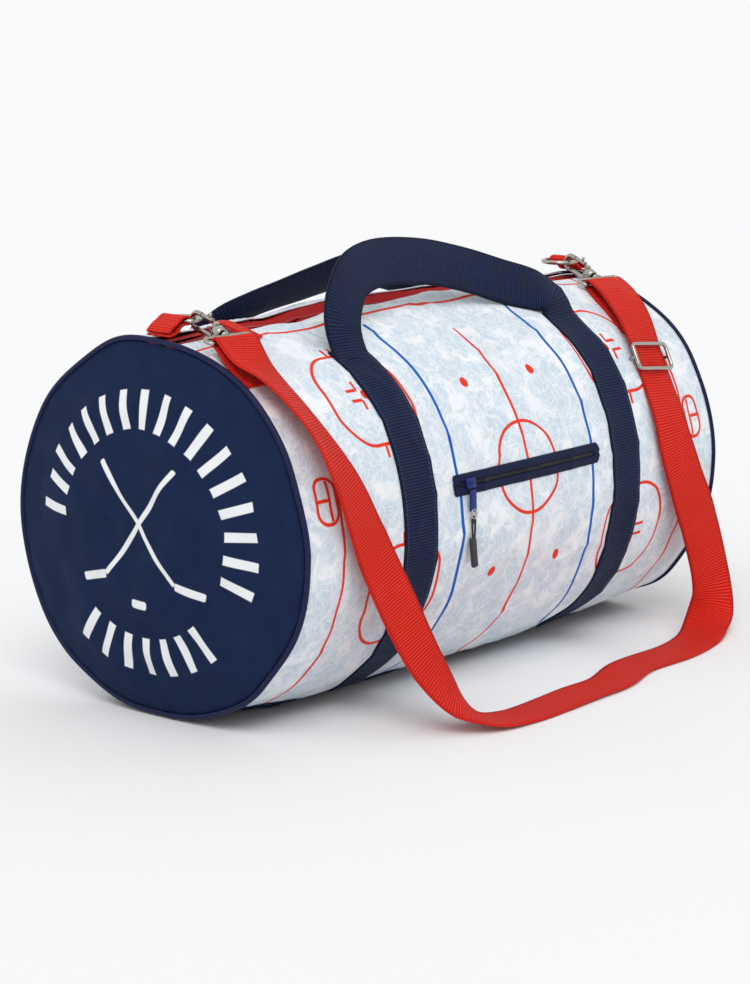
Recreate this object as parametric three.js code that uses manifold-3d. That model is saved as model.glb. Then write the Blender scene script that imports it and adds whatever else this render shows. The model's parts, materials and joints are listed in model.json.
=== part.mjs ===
// A barrel-shaped equipment bag of printed fabric with two webbing handles,
// a zipped top, a zipped front pocket and a shoulder strap clipped to both ends.
// Millimetres, +Z up. The origin is on the floor under the middle of the bag,
// the barrel lies along X, and the pocket faces -Y.
import * as THREE from 'three';
import { mergeVertices } from 'three/addons/utils/BufferGeometryUtils.js';
import Module from 'manifold-3d';

const wasm = await Module();
wasm.setup();

// Driving dimensions.
const gap = 0.3;
const barrelRadius = 145;
const barrelHalfLength = 261.5;
const axisHeight = 141;
const panelThickness = 3;
const endCrown = 23;
const baseEdgeAngle = 62;
const webbingWidth = 38;
const webbingThickness = 2;
const bandCentre = 133;
const bandTopAngle = 60;
const mainZipHalfWidth = 15;
const mainZipHalfLength = 206;
const coilWidth = 4;
const coilHeight = 2.6;
const mainSliderX = -198;
const pocketAngle = 10;
const pocketHalfLength = 88;
const pocketHalfHeight = 6.5;
const pocketSliderX = -76;
const pipingRadius = 2.2;
const tabWidth = 22;
const ringWire = 1.8;
const ringBarX = 241;
const ringHeight = 299;
const ringHalfWidth = 14;
const ringLegs = 5;
const hookLean = { near: 15, far: 19 };
const hookYaw = { near: -6, far: -10 };
const hookWire = 2;
const ringPlay = 1.6;
const eyeWire = 1.6;
const frameSize = 11;
const slidePlay = 1.6;

const degree = Math.PI / 180;

// Surface colours: hex, roughness, metalness.
const looks = {
  printed: [0xe3eaf1, 0.7, 0],
  navyFabric: [0x1d2b49, 0.75, 0],
  navyWebbing: [0x232d50, 0.7, 0],
  navyPiping: [0x2a2f55, 0.5, 0],
  redTape: [0xb51f26, 0.7, 0],
  redCoil: [0x9c1a20, 0.45, 0],
  redWebbing: [0xee2f27, 0.7, 0],
  navyTape: [0x1f2a4d, 0.7, 0],
  blackCoil: [0x14161c, 0.4, 0],
  bluePaint: [0x1d3a86, 0.35, 0.4],
  lining: [0xd8dadd, 0.8, 0],
  nickel: [0xc9c7c2, 0.25, 1],
  blackCord: [0x17181c, 0.8, 0],
  charcoal: [0x2b2d33, 0.55, 0],
};

const bag = new THREE.Group();

function addPiece(parent, name, geometry, look) {
  const [color, roughness, metalness] = looks[look];
  const material = new THREE.MeshStandardMaterial({ color, roughness, metalness });
  const mesh = new THREE.Mesh(geometry, material);
  mesh.name = name;
  parent.add(mesh);
  return mesh;
}

// Joining and cutting of closed geometries.
function toSolid(geometry) {
  const bare = geometry.clone();
  bare.deleteAttribute('normal');
  bare.deleteAttribute('uv');
  const merged = mergeVertices(bare, 1e-4);
  return new wasm.Manifold(new wasm.Mesh({
    numProp: 3,
    vertProperties: Float32Array.from(merged.attributes.position.array),
    triVerts: Uint32Array.from(merged.index.array),
  }));
}

function toGeometry(solid) {
  const mesh = solid.getMesh();
  const geometry = new THREE.BufferGeometry();
  geometry.setAttribute('position', new THREE.BufferAttribute(mesh.vertProperties, 3));
  geometry.setIndex(new THREE.BufferAttribute(mesh.triVerts, 1));
  geometry.computeVertexNormals();
  return geometry;
}

function join(...geometries) {
  return toGeometry(geometries.map(toSolid).reduce((whole, part) => whole.add(part)));
}

function cut(geometry, ...tools) {
  return toGeometry(tools.map(toSolid).reduce((whole, part) => whole.subtract(part), toSolid(geometry)));
}

// The barrel's section: a circle whose lowest part is flattened on the floor.
// An angle of 0 faces the front, 90 the top and -90 the floor.
function sectionPoint(angle, radius) {
  const y = -radius * Math.cos(angle * degree);
  const z = axisHeight + radius * Math.sin(angle * degree);
  return new THREE.Vector2(y, Math.max(z, barrelRadius - radius));
}

function arcPoints(radius, from, to, step) {
  const count = Math.max(1, Math.round(Math.abs(to - from) / step));
  return Array.from({ length: count + 1 }, (_, i) => sectionPoint(from + (to - from) * i / count, radius));
}

// Turns a shape drawn in the section's plane (y, z), extruded along its own z, to lie along x.
function sectionAxes() {
  return new THREE.Matrix4().makeBasis(
    new THREE.Vector3(0, 1, 0), new THREE.Vector3(0, 0, 1), new THREE.Vector3(1, 0, 0));
}

function extrudeAlongX(shape, fromX, toX) {
  const geometry = new THREE.ExtrudeGeometry(shape, { depth: toX - fromX, bevelEnabled: false });
  return geometry.applyMatrix4(sectionAxes()).translate(fromX, 0, 0);
}

function shellAlongX(inner, outer, fromAngle, toAngle, fromX, toX, step = 6) {
  const outside = arcPoints(outer, fromAngle, toAngle, step);
  const inside = arcPoints(inner, toAngle, fromAngle, step);
  return extrudeAlongX(new THREE.Shape([...outside, ...inside]), fromX, toX);
}

function angleAcross(length, radius = barrelRadius) {
  return length / radius / degree;
}

function boxAt(sizeX, sizeY, sizeZ, x, y, z) {
  return new THREE.BoxGeometry(sizeX, sizeY, sizeZ).translate(x, y, z);
}

// Barrel panels.
const innerRadius = barrelRadius - panelThickness;
const zipAngle = angleAcross(mainZipHalfWidth);
const seamGap = angleAcross(gap);
const frontTop = 90 - zipAngle - seamGap;
const frontBottom = -baseEdgeAngle + seamGap;
const pocketSpan = angleAcross(pocketHalfHeight);

function pocketWindow(margin) {
  return shellAlongX(innerRadius - 6, barrelRadius + 6, pocketAngle - pocketSpan - angleAcross(margin),
    pocketAngle + pocketSpan + angleAcross(margin), -pocketHalfLength - margin, pocketHalfLength + margin, 3);
}

const frontShell = shellAlongX(innerRadius, barrelRadius, frontBottom, frontTop,
  -barrelHalfLength, barrelHalfLength);
addPiece(bag, 'front_panel', cut(frontShell, pocketWindow(gap)), 'printed');
addPiece(bag, 'back_panel', shellAlongX(innerRadius, barrelRadius, 180 - frontTop, 180 - frontBottom,
  -barrelHalfLength, barrelHalfLength), 'printed');
addPiece(bag, 'base_panel', shellAlongX(innerRadius, barrelRadius, -180 + baseEdgeAngle, -baseEdgeAngle,
  -barrelHalfLength, barrelHalfLength, 4), 'navyFabric');

// Crowned end panels with a piping cord around each seam.
function crownProfile() {
  const rim = barrelRadius - 1.2;
  const steps = 7;
  const outer = [];
  const inner = [];
  for (let i = 0; i <= steps; i += 1) {
    const share = i / steps;
    const rise = endCrown * (1 - share * share);
    outer.push(new THREE.Vector2(rim * share, rise + panelThickness));
    inner.push(new THREE.Vector2((rim - panelThickness) * share, rise));
  }
  return [...inner, ...outer.reverse()];
}

function endPanel(side) {
  const dome = new THREE.LatheGeometry(crownProfile(), 40).rotateZ(-Math.PI / 2);
  const placed = dome.translate(barrelHalfLength + gap, 0, axisHeight);
  const footRoom = 2 * pipingRadius + 3 * gap;
  const room = boxAt(80, 300, 300, barrelHalfLength + 30, 0, 150 + footRoom);
  const trimmed = toGeometry(toSolid(placed).intersect(toSolid(room)));
  return side < 0 ? trimmed.rotateZ(Math.PI) : trimmed;
}

// A closed frame of wire or cord from its outer and inner outlines, with softened edges.
function wireFrame(outlineAt, wire, curveSegments = 6) {
  const soften = wire * 0.55;
  const shape = outlineAt(wire - soften);
  shape.holes.push(outlineAt(-wire + soften));
  return new THREE.ExtrudeGeometry(shape, {
    depth: 2 * (wire - soften), bevelEnabled: true, bevelThickness: soften, bevelSize: soften,
    bevelSegments: 1, curveSegments,
  }).translate(0, 0, -(wire - soften));
}

// The piping follows a circle with a flat foot.
function pipingOutline(grow) {
  const radius = barrelRadius + 1.5 + grow;
  const foot = pipingRadius + gap - grow;
  const footAngle = Math.asin((foot - axisHeight) / radius);
  const shape = new THREE.Shape().absarc(0, axisHeight, radius, footAngle, Math.PI - footAngle, false);
  shape.closePath();
  return shape;
}

function pipingRing(side) {
  const ring = wireFrame(pipingOutline, pipingRadius, 40);
  return ring.applyMatrix4(sectionAxes()).translate(side * (barrelHalfLength + pipingRadius + gap), 0, 0);
}

for (const [name, side] of [['near', -1], ['far', 1]]) {
  addPiece(bag, `${name}_end_panel`, endPanel(side), 'navyFabric');
  addPiece(bag, `${name}_piping`, pipingRing(side), 'navyPiping');
}

// Main zip along the top: two tapes, the coil, its end stops, the slider and its pull.
const tapeOuter = barrelRadius - 0.6;
const tapeInner = tapeOuter - 1.6;
const coilAngle = angleAcross(coilWidth / 2 + gap);
addPiece(bag, 'main_zip_tape_front', shellAlongX(tapeInner, tapeOuter, 90 - zipAngle, 90 - coilAngle,
  -barrelHalfLength, barrelHalfLength, 3), 'redTape');
addPiece(bag, 'main_zip_tape_back', shellAlongX(tapeInner, tapeOuter, 90 + coilAngle, 90 + zipAngle,
  -barrelHalfLength, barrelHalfLength, 3), 'redTape');
const coilMiddle = axisHeight + tapeOuter;
addPiece(bag, 'main_zip_coil', boxAt(2 * mainZipHalfLength, coilWidth, coilHeight, 0, 0, coilMiddle), 'redCoil');
for (const [name, side] of [['near', -1], ['far', 1]]) {
  const stop = boxAt(3, coilWidth, coilHeight, side * (mainZipHalfLength + 1.5 + gap), 0, coilMiddle);
  addPiece(bag, `main_zip_${name}_stop`, stop, 'nickel');
}

// A slider that bridges its coil, pointing along x, with its groove face at z = 0.
function sliderBody(length, width, height, grooveWidth, grooveHeight) {
  const outline = new THREE.Shape();
  outline.moveTo(-length / 2, -width * 0.3);
  outline.lineTo(length * 0.1, -width / 2);
  outline.lineTo(length / 2, -width * 0.4);
  outline.lineTo(length / 2, width * 0.4);
  outline.lineTo(length * 0.1, width / 2);
  outline.lineTo(-length / 2, width * 0.3);
  outline.closePath();
  const body = new THREE.ExtrudeGeometry(outline, { depth: height, bevelEnabled: false });
  const groove = boxAt(length + 2, grooveWidth, grooveHeight, 0, 0, grooveHeight / 2 - 0.01);
  return cut(body, groove);
}

const mainSlider = new THREE.Group();
mainSlider.position.set(mainSliderX, 0, axisHeight + tapeOuter + gap);
bag.add(mainSlider);
const mainSliderHeight = 4.4;
const mainBailHeight = mainSliderHeight + 1.9;

// A bail of wire in the YZ plane that a pull's cross bar hangs in.
function sliderBail(radius, wire, height) {
  return new THREE.TorusGeometry(radius, wire, 6, 16).rotateY(Math.PI / 2).translate(0, 0, height);
}

const mainBody = sliderBody(13, 9, mainSliderHeight, coilWidth + 2 * gap, coilHeight / 2 + gap);
addPiece(mainSlider, 'main_slider', join(mainBody, sliderBail(3, 1, mainBailHeight)), 'redTape');

// A pull's cross bar lies on its X axis, and the pull hangs from it along -Y.
function pullPlate(length, width, thickness, bar, slotWidth, slotLength) {
  const outline = new THREE.Shape();
  const tip = width / 2;
  outline.moveTo(-width / 2, bar / 2);
  outline.lineTo(-width / 2, tip - length);
  outline.absarc(0, tip - length, tip, Math.PI, 2 * Math.PI, false);
  outline.lineTo(width / 2, bar / 2);
  outline.closePath();
  const slot = new THREE.Path();
  slot.moveTo(-slotWidth / 2, -bar / 2);
  slot.lineTo(slotWidth / 2, -bar / 2);
  slot.lineTo(slotWidth / 2, -bar / 2 - slotLength);
  slot.lineTo(-slotWidth / 2, -bar / 2 - slotLength);
  slot.closePath();
  outline.holes.push(slot);
  const plate = new THREE.ExtrudeGeometry(outline, { depth: thickness, bevelEnabled: false, curveSegments: 8 });
  return plate.translate(0, 0, -thickness / 2);
}

// The main pull lies over the front edge of the zip.
const mainPullLean = 8.5;
const mainPull = new THREE.Group();
mainPull.position.set(0, 0, mainBailHeight);
mainPull.rotation.x = mainPullLean * degree;
mainSlider.add(mainPull);
addPiece(mainPull, 'main_pull', pullPlate(40, 12, 1.4, 1.4, 3.2, 3.9), 'redWebbing');

// Front pocket: zip tapes in the window, coil, end stops and the lining pouch behind them.
const pocketTapeOuter = barrelRadius - 0.8;
const pocketTapeInner = pocketTapeOuter - 1.4;
const pocketCoilWidth = 2.4;
const pocketCoilHeight = 2;
const pocketCoilAngle = angleAcross(pocketCoilWidth / 2 + gap);
addPiece(bag, 'pocket_zip_tape_upper', shellAlongX(pocketTapeInner, pocketTapeOuter,
  pocketAngle + pocketCoilAngle, pocketAngle + pocketSpan, -pocketHalfLength, pocketHalfLength, 3), 'navyTape');
addPiece(bag, 'pocket_zip_tape_lower', shellAlongX(pocketTapeInner, pocketTapeOuter,
  pocketAngle - pocketSpan, pocketAngle - pocketCoilAngle, -pocketHalfLength, pocketHalfLength, 3), 'navyTape');

// A group whose +Z points out of the barrel and whose +Y points up along its surface.
const pocketFace = new THREE.Group();
const pocketPoint = sectionPoint(pocketAngle, pocketTapeOuter);
pocketFace.position.set(0, pocketPoint.x, pocketPoint.y);
pocketFace.rotation.x = (90 - pocketAngle) * degree;
bag.add(pocketFace);
const pocketCoilHalf = pocketHalfLength - 5;
addPiece(pocketFace, 'pocket_zip_coil',
  boxAt(2 * pocketCoilHalf, pocketCoilWidth, pocketCoilHeight, 0, 0, -0.2), 'blackCoil');
for (const [name, side] of [['near', -1], ['far', 1]]) {
  const stop = boxAt(2.4, pocketCoilWidth, pocketCoilHeight, side * (pocketCoilHalf + 1.2 + gap), 0, -0.2);
  addPiece(pocketFace, `pocket_zip_${name}_stop`, stop, 'nickel');
}

const pouchDepth = 9;
const pouchOuter = innerRadius - gap;
const pouchInner = pouchOuter - pouchDepth;
const pouchWall = 1.4;
const pouchHalfLength = pocketHalfLength + 10;
const pouchBottom = -38;
const pouchTop = pocketAngle + 6;
const wallAngle = angleAcross(pouchWall);
const pouchTray = cut(
  shellAlongX(pouchInner, pouchOuter, pouchBottom, pouchTop, -pouchHalfLength, pouchHalfLength, 8),
  shellAlongX(pouchInner + pouchWall, pouchOuter + 1, pouchBottom + wallAngle, pouchTop - wallAngle,
    -pouchHalfLength + pouchWall, pouchHalfLength - pouchWall, 8));
addPiece(bag, 'pocket_pouch', pouchTray, 'lining');

// Pocket slider with its hanging pull: painted tab, split ring, cord loop and moulded grip.
const pocketSlider = new THREE.Group();
pocketSlider.position.set(pocketSliderX, 0, gap);
pocketFace.add(pocketSlider);
const pocketSliderHeight = 3.2;
const pocketBody = sliderBody(10, 7.4, pocketSliderHeight, pocketCoilWidth + 2 * gap, pocketCoilHeight / 2 + gap);
const pocketBailHeight = pocketSliderHeight + 1.1;
addPiece(pocketSlider, 'pocket_slider', join(pocketBody, sliderBail(2.2, 0.8, pocketBailHeight)), 'bluePaint');

const pocketPullLean = 7;
const pocketPull = new THREE.Group();
pocketPull.position.set(0, 0, pocketBailHeight);
pocketPull.rotation.x = (pocketAngle - pocketPullLean) * degree;
pocketSlider.add(pocketPull);

function flatRing(outerRadius, innerRadiusOfRing, thickness) {
  const shape = new THREE.Shape().absarc(0, 0, outerRadius, 0, 2 * Math.PI, false);
  shape.holes.push(new THREE.Path().absarc(0, 0, innerRadiusOfRing, 0, 2 * Math.PI, true));
  const ring = new THREE.ExtrudeGeometry(shape, { depth: thickness, bevelEnabled: false, curveSegments: 10 });
  return ring.translate(0, 0, -thickness / 2);
}

// Down is -Y in this group and its +Z faces out of the bag.
const tabLength = 19;
const tabHoleDrop = 15;
const splitRingDrop = 18.4;
const loopTop = -21.7;
const loopEnd = -37;
const loopRadius = 2.3;
const loopCord = 1.5;
const gripLength = 24;
const tabPlate = pullPlate(tabLength, 7, 1.4, 1.2, 2.4, 2.8);
const tabHole = new THREE.CylinderGeometry(1.9, 1.9, 4, 12).rotateX(Math.PI / 2).translate(0, -tabHoleDrop, 0);
addPiece(pocketPull, 'pocket_pull_tab', cut(tabPlate, tabHole), 'bluePaint');
const splitRing = flatRing(3.4, 2.3, 1).rotateY(Math.PI / 2).translate(0, -splitRingDrop, 0);
addPiece(pocketPull, 'pocket_pull_ring', splitRing, 'nickel');

// A loop outline: round at the top and drawn in towards its end.
function loopOutline(path, radius, halfEnd, end) {
  path.absarc(0, loopTop, radius, 0, Math.PI, false);
  path.lineTo(-halfEnd, end);
  path.lineTo(halfEnd, end);
  path.closePath();
  return path;
}

const cordLoop = loopOutline(new THREE.Shape(), loopRadius, 1.9, loopEnd);
cordLoop.holes.push(loopOutline(new THREE.Path(), loopRadius - 1, 0.5, loopEnd + 4));
const loopSolid = new THREE.ExtrudeGeometry(cordLoop, { depth: loopCord, bevelEnabled: false, curveSegments: 8 });
addPiece(pocketPull, 'pocket_pull_cord', loopSolid.translate(0, 0, -loopCord / 2), 'blackCord');
const grip = new THREE.CylinderGeometry(2.6, 3.4, gripLength, 12).scale(1, 1, 0.7);
addPiece(pocketPull, 'pocket_pull_grip', grip.translate(0, loopEnd - gap - gripLength / 2, 0), 'charcoal');

// Webbing bands sewn up the front and the back of the barrel.
const bandInner = barrelRadius + gap;
const bandOuter = bandInner + webbingThickness;
for (const [end, side] of [['near', -1], ['far', 1]]) {
  const fromX = side * bandCentre - webbingWidth / 2;
  const toX = fromX + webbingWidth;
  addPiece(bag, `front_${end}_band`, shellAlongX(bandInner, bandOuter, -baseEdgeAngle, bandTopAngle, fromX, toX),
    'navyWebbing');
  addPiece(bag, `back_${end}_band`, shellAlongX(bandInner, bandOuter, 180 - bandTopAngle, 180 + baseEdgeAngle,
    fromX, toX), 'navyWebbing');
}

// A webbing route: a curve through hand-set points whose width follows given directions.
class WebbingRoute extends THREE.CatmullRomCurve3 {
  constructor(stations) {
    super(stations.map(([x, y, z]) => new THREE.Vector3(x, y, z)), false, 'centripetal');
    this.widths = new THREE.CatmullRomCurve3(
      stations.map(([, , , x, y, z]) => new THREE.Vector3(x, y, z)), false, 'centripetal');
  }

  getSpacedPoints(divisions) {
    return this.getPoints(divisions);
  }

  computeFrenetFrames(segments) {
    const frames = { tangents: [], normals: [], binormals: [] };
    for (let i = 0; i <= segments; i += 1) {
      const tangent = this.getTangent(i / segments);
      const width = this.widths.getPoint(i / segments);
      width.addScaledVector(tangent, -width.dot(tangent)).normalize();
      frames.tangents.push(tangent);
      frames.normals.push(width);
      frames.binormals.push(new THREE.Vector3().crossVectors(tangent, width));
    }
    return frames;
  }
}

function webbingAlong(stations, stepsPerStation) {
  const section = new THREE.Shape();
  section.moveTo(-webbingWidth / 2, -webbingThickness / 2);
  section.lineTo(webbingWidth / 2, -webbingThickness / 2);
  section.lineTo(webbingWidth / 2, webbingThickness / 2);
  section.lineTo(-webbingWidth / 2, webbingThickness / 2);
  section.closePath();
  const route = new WebbingRoute(stations);
  return new THREE.ExtrudeGeometry(section, {
    steps: (stations.length - 1) * stepsPerStation, bevelEnabled: false, extrudePath: route,
  });
}

// Handles: each station is a point on the middle line and the direction of the width.
const frontHandleRoute = [
  [-133, -76, 271, -1, 0, 0], [-131, -69, 290, -1, 0.1, 0.2], [-119, -61, 310, -0.9, 0.2, 0.6],
  [-97, -52, 324, -0.45, 0.3, 1], [-55, -43, 328, -0.1, 0.35, 1], [0, -40, 323, 0, 0.35, 1],
  [50, -42, 312, 0.05, 0.35, 1], [90, -51, 299, 0.1, 0.35, 1], [117, -62, 291, 0.5, 0.35, 0.8],
  [131, -71, 283, 0.95, 0.1, 0.1], [133, -76, 271, 1, 0, 0],
];
const backHandleRoute = [
  [-133, 76, 271, -1, 0, 0], [-130, 62, 281, -1, 0, 0.08], [-112, 50, 290, -0.5, -0.5, 0.6],
  [-85, 45, 297, -0.1, -0.7, 0.8], [-50, 40, 304, 0, -0.6, 0.8], [-5, 36, 311, 0, -0.6, 0.9],
  [40, 38, 308, 0, -0.6, 0.8], [85, 46, 298, 0.1, -0.6, 0.8], [114, 58, 290, 0.5, -0.3, 0.6],
  [131, 69, 283, 0.95, -0.1, 0.1], [133, 76, 271, 1, 0, 0],
];
addPiece(bag, 'front_handle', webbingAlong(frontHandleRoute, 4), 'navyWebbing');
addPiece(bag, 'back_handle', webbingAlong(backHandleRoute, 4), 'navyWebbing');

// Tabs at both ends of the top: webbing folded round the bar of a ring.
const loopInner = ringWire + gap + 0.3;
const loopOuter = loopInner + 1.6;
function ringTab(side) {
  const profile = new THREE.Shape();
  const tail = barrelHalfLength - ringBarX;
  const low = axisHeight + barrelRadius - 0.2 - ringHeight;
  profile.moveTo(0, -loopOuter);
  profile.absarc(0, 0, loopOuter, -Math.PI / 2, Math.PI / 2, false);
  profile.lineTo(-4, loopOuter - 1);
  profile.lineTo(-14, low + 3.6);
  profile.lineTo(-tail, low + 3.6);
  profile.lineTo(-tail, low);
  profile.lineTo(-12, low);
  profile.closePath();
  profile.holes.push(new THREE.Path().absarc(0, 0, loopInner, 0, 2 * Math.PI, true));
  const tab = new THREE.ExtrudeGeometry(profile, { depth: tabWidth, bevelEnabled: false, curveSegments: 8 });
  tab.rotateX(Math.PI / 2).translate(0, tabWidth / 2, 0);
  return side < 0 ? tab : tab.rotateZ(Math.PI);
}

function roundedRectangle(halfWidth, halfHeight, corner) {
  const shape = new THREE.Shape();
  const w = halfWidth - corner;
  const h = halfHeight - corner;
  shape.absarc(w, h, corner, 0, Math.PI / 2, false);
  shape.absarc(-w, h, corner, Math.PI / 2, Math.PI, false);
  shape.absarc(-w, -h, corner, Math.PI, 1.5 * Math.PI, false);
  shape.absarc(w, -h, corner, 1.5 * Math.PI, 2 * Math.PI, false);
  shape.closePath();
  return shape;
}

// Ring with its bar on the Y axis and its bow towards +X.
function ringOutline(grow) {
  const bow = ringHalfWidth + grow;
  const shape = new THREE.Shape();
  shape.moveTo(-grow, -bow);
  shape.lineTo(ringLegs, -bow);
  shape.absarc(ringLegs, 0, bow, -Math.PI / 2, Math.PI / 2, false);
  shape.lineTo(-grow, bow);
  shape.closePath();
  return shape;
}

for (const [end, side] of [['near', -1], ['far', 1]]) {
  const mount = new THREE.Group();
  mount.position.set(side * ringBarX, 0, ringHeight);
  bag.add(mount);
  addPiece(mount, `${end}_tab`, ringTab(side), 'redWebbing');
  const ring = wireFrame(ringOutline, ringWire);
  addPiece(mount, `${end}_d_ring`, side < 0 ? ring : ring.rotateZ(Math.PI), 'nickel');
}

// Snap hooks. In a hook's own frame +Y runs from the strap eye to the ring,
// and +Z points away from the bag.
const hookCentre = 20;
const hookBow = 6;
const ringInHook = hookCentre + hookBow - hookWire - ringWire - ringPlay;
const gateFoot = 2.5;
const gateClearance = 1;
const eyeBarDrop = 22;
const eyeHalfHeight = 4.5;
const eyeHalfWidth = webbingWidth / 2 + 1.5 + eyeWire;

function wireAlong(points, radius, steps) {
  const section = new THREE.Shape().absarc(0, 0, radius, 0, 2 * Math.PI, false);
  return new THREE.ExtrudeGeometry(section, {
    steps, bevelEnabled: false, curveSegments: 4, extrudePath: new THREE.CatmullRomCurve3(points),
  });
}

function hookBody() {
  const line = [new THREE.Vector3(0, 0, -hookBow), new THREE.Vector3(0, hookCentre * 0.5, -hookBow)];
  for (let turn = 0; turn <= 180; turn += 30) {
    const along = hookCentre + hookBow * Math.sin(turn * degree);
    line.push(new THREE.Vector3(0, along, -hookBow * Math.cos(turn * degree)));
  }
  line.push(new THREE.Vector3(0, hookCentre - 4, hookBow));
  const bow = wireAlong(line, hookWire, 22);
  const yoke = boxAt(6, 2 * gateFoot, 2 * (hookBow + hookWire), 0, 0, 0);
  const collar = new THREE.CylinderGeometry(5, 4.4, 7, 16).translate(0, -5, 0);
  const bore = new THREE.CylinderGeometry(3.1, 3.1, 5, 16).translate(0, -7, 0);
  return cut(join(bow, yoke, collar), bore);
}

function hookGate() {
  const length = hookCentre - 4 - gateFoot - gateClearance - gap;
  const gate = new THREE.CylinderGeometry(1.7, 1.9, length, 12);
  return gate.translate(0, gateFoot + gateClearance + length / 2, hookBow);
}

function swivelEye() {
  const neck = new THREE.CylinderGeometry(2.7, 2.7, 6.6, 16).translate(0, -8.2, 0);
  const bead = new THREE.SphereGeometry(2.9, 12, 8).translate(0, -11.8, 0);
  const eyeOutline = (grow) => roundedRectangle(eyeHalfWidth + grow, eyeHalfHeight + grow, 2.4 + grow);
  const frame = wireFrame(eyeOutline, eyeWire).translate(0, eyeHalfHeight - eyeBarDrop, 0);
  return join(neck, bead, frame);
}

// The near hook sits where its ring's leg meets the bow, the far one further round the bow.
const farBowAngle = -hookYaw.far * degree;
const hookHolds = {
  near: new THREE.Vector3(-ringBarX + ringLegs + 2, -ringHalfWidth, ringHeight),
  far: new THREE.Vector3(ringBarX - ringLegs - ringHalfWidth * Math.sin(farBowAngle),
    -ringHalfWidth * Math.cos(farBowAngle), ringHeight),
};
const hooks = {};
for (const end of ['near', 'far']) {
  const hook = new THREE.Group();
  hook.rotation.set(hookLean[end] * degree, 0, hookYaw[end] * degree, 'ZXY');
  const reach = new THREE.Vector3(0, ringInHook, 0).applyEuler(hook.rotation);
  hook.position.copy(hookHolds[end]).sub(reach);
  hook.updateMatrix();
  bag.add(hook);
  hooks[end] = hook;
  addPiece(hook, `${end}_hook_body`, hookBody(), 'nickel');
  addPiece(hook, `${end}_hook_gate`, hookGate(), 'nickel');
  addPiece(hook, `${end}_swivel_eye`, swivelEye(), 'nickel');
}

// Stations of a half turn of webbing round an eye's bar, from below it to above it.
function turnRoundBar(end, widthSign) {
  const turnRadius = eyeWire + gap + webbingThickness / 2 + 0.4;
  const width = new THREE.Vector3(widthSign, 0, 0).applyEuler(hooks[end].rotation);
  return [-110, -60, 0, 60, 110].map((angle) => {
    const point = new THREE.Vector3(0, turnRadius * Math.cos(angle * degree) - eyeBarDrop,
      turnRadius * Math.sin(angle * degree)).applyMatrix4(hooks[end].matrix);
    return [...point.toArray(), ...width.toArray()];
  });
}

// Shoulder strap: its sewn return under itself, round the far eye, down the front of
// the bag, along the floor, up to the near eye and round it to its sewn end.
const strapRoute = [
  [206, -103, 247, 1, 0, 0], [212, -86, 261, 1, -0.1, 0], [218, -71, 271.5, 1, -0.2, 0],
  ...turnRoundBar('far', 1),
  [218, -75, 279.5, 1, -0.15, 0], [208, -96, 265, 1, -0.1, 0], [199.5, -113, 246, 1, 0, 0],
  [197, -121.2, 231, 1, 0, 0], [195, -129.5, 216, 1, 0, 0], [192, -146, 186, 1, -0.1, -0.1],
  [194, -153, 160, 1, -0.2, -0.2], [204, -157, 128, 1, -0.2, -0.3], [222, -158, 92, 1, -0.25, -0.3],
  [236, -160, 52, 1, -0.35, -0.1], [236, -164, 23, 0.9, -0.6, 0], [218, -170, 7, 0.5, -0.9, 0],
  [188, -181, 1.6, 0.1, -1, 0], [140, -190, 1.6, 0, -1, 0],
  [82, -190, 1.6, 0, -1, 0], [31, -204, 1.6, 0, -1, 0], [-11, -206, 1.6, 0, -1, 0],
  [-56, -208, 1.6, 0, -1, 0], [-94, -208, 1.8, -0.1, -1, 0], [-126, -204, 6, -0.5, -0.85, 0],
  [-147, -191, 20, -0.85, -0.5, 0], [-164, -177, 50, -1, -0.25, -0.1], [-180, -165, 90, -1, -0.15, -0.15],
  [-195, -157, 127, -1, -0.2, -0.15], [-207, -155, 153, -1, -0.3, 0], [-218, -151, 181, -1, -0.36, 0.06],
  [-226, -144, 204, -1, -0.36, 0.18], [-232, -132, 226, -1, -0.32, 0.28], [-238, -116, 246, -1, -0.24, 0.32],
  [-242, -96, 264, -1, -0.15, 0.28], [-243, -76, 276, -1, 0, 0.1],
  ...turnRoundBar('near', -1).reverse(),
  [-241, -73, 269.5, -1, 0.1, 0], [-241, -88, 259.5, -1, 0, 0],
];
addPiece(bag, 'shoulder_strap', webbingAlong(strapRoute, 3), 'redWebbing');

// The slide: a wire frame over the strap, with its middle bar under it.
function slideFrame() {
  const lift = webbingThickness / 2 + slidePlay + eyeWire;
  const outline = (grow) => roundedRectangle(eyeHalfWidth + grow, frameSize + grow, 3 + grow);
  const frame = wireFrame(outline, eyeWire).translate(0, 0, lift);
  const bar = new THREE.CylinderGeometry(1.5, 1.5, 2 * eyeHalfWidth, 10).rotateZ(Math.PI / 2);
  bar.translate(0, 0, -lift);
  const posts = [-1, 1].map((side) => boxAt(2.4, 2.4, 2 * lift, side * eyeHalfWidth, 0, 0));
  return join(frame, bar, ...posts);
}

const slide = new THREE.Group();
const slideUp = new THREE.Vector3(4, 16.5, 30).normalize();
const slideOut = new THREE.Vector3(1, 0, 0).cross(slideUp).normalize();
const slideAcross = new THREE.Vector3().crossVectors(slideUp, slideOut);
slide.position.set(197, -121.2, 231);
slide.setRotationFromMatrix(new THREE.Matrix4().makeBasis(slideAcross, slideUp, slideOut));
bag.add(slide);
addPiece(slide, 'slide_adjuster', slideFrame(), 'nickel');

export default bag;
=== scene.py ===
# A barrel equipment bag: printed fabric shell, navy ends, webbing handles and a red shoulder strap.
# Metres, +Z up, the barrel lies along X and its pocket faces -Y.
import json
from math import cos, exp, pi, radians, sin, sqrt

import bmesh
import bpy
from mathutils import Matrix, Vector, noise


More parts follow.
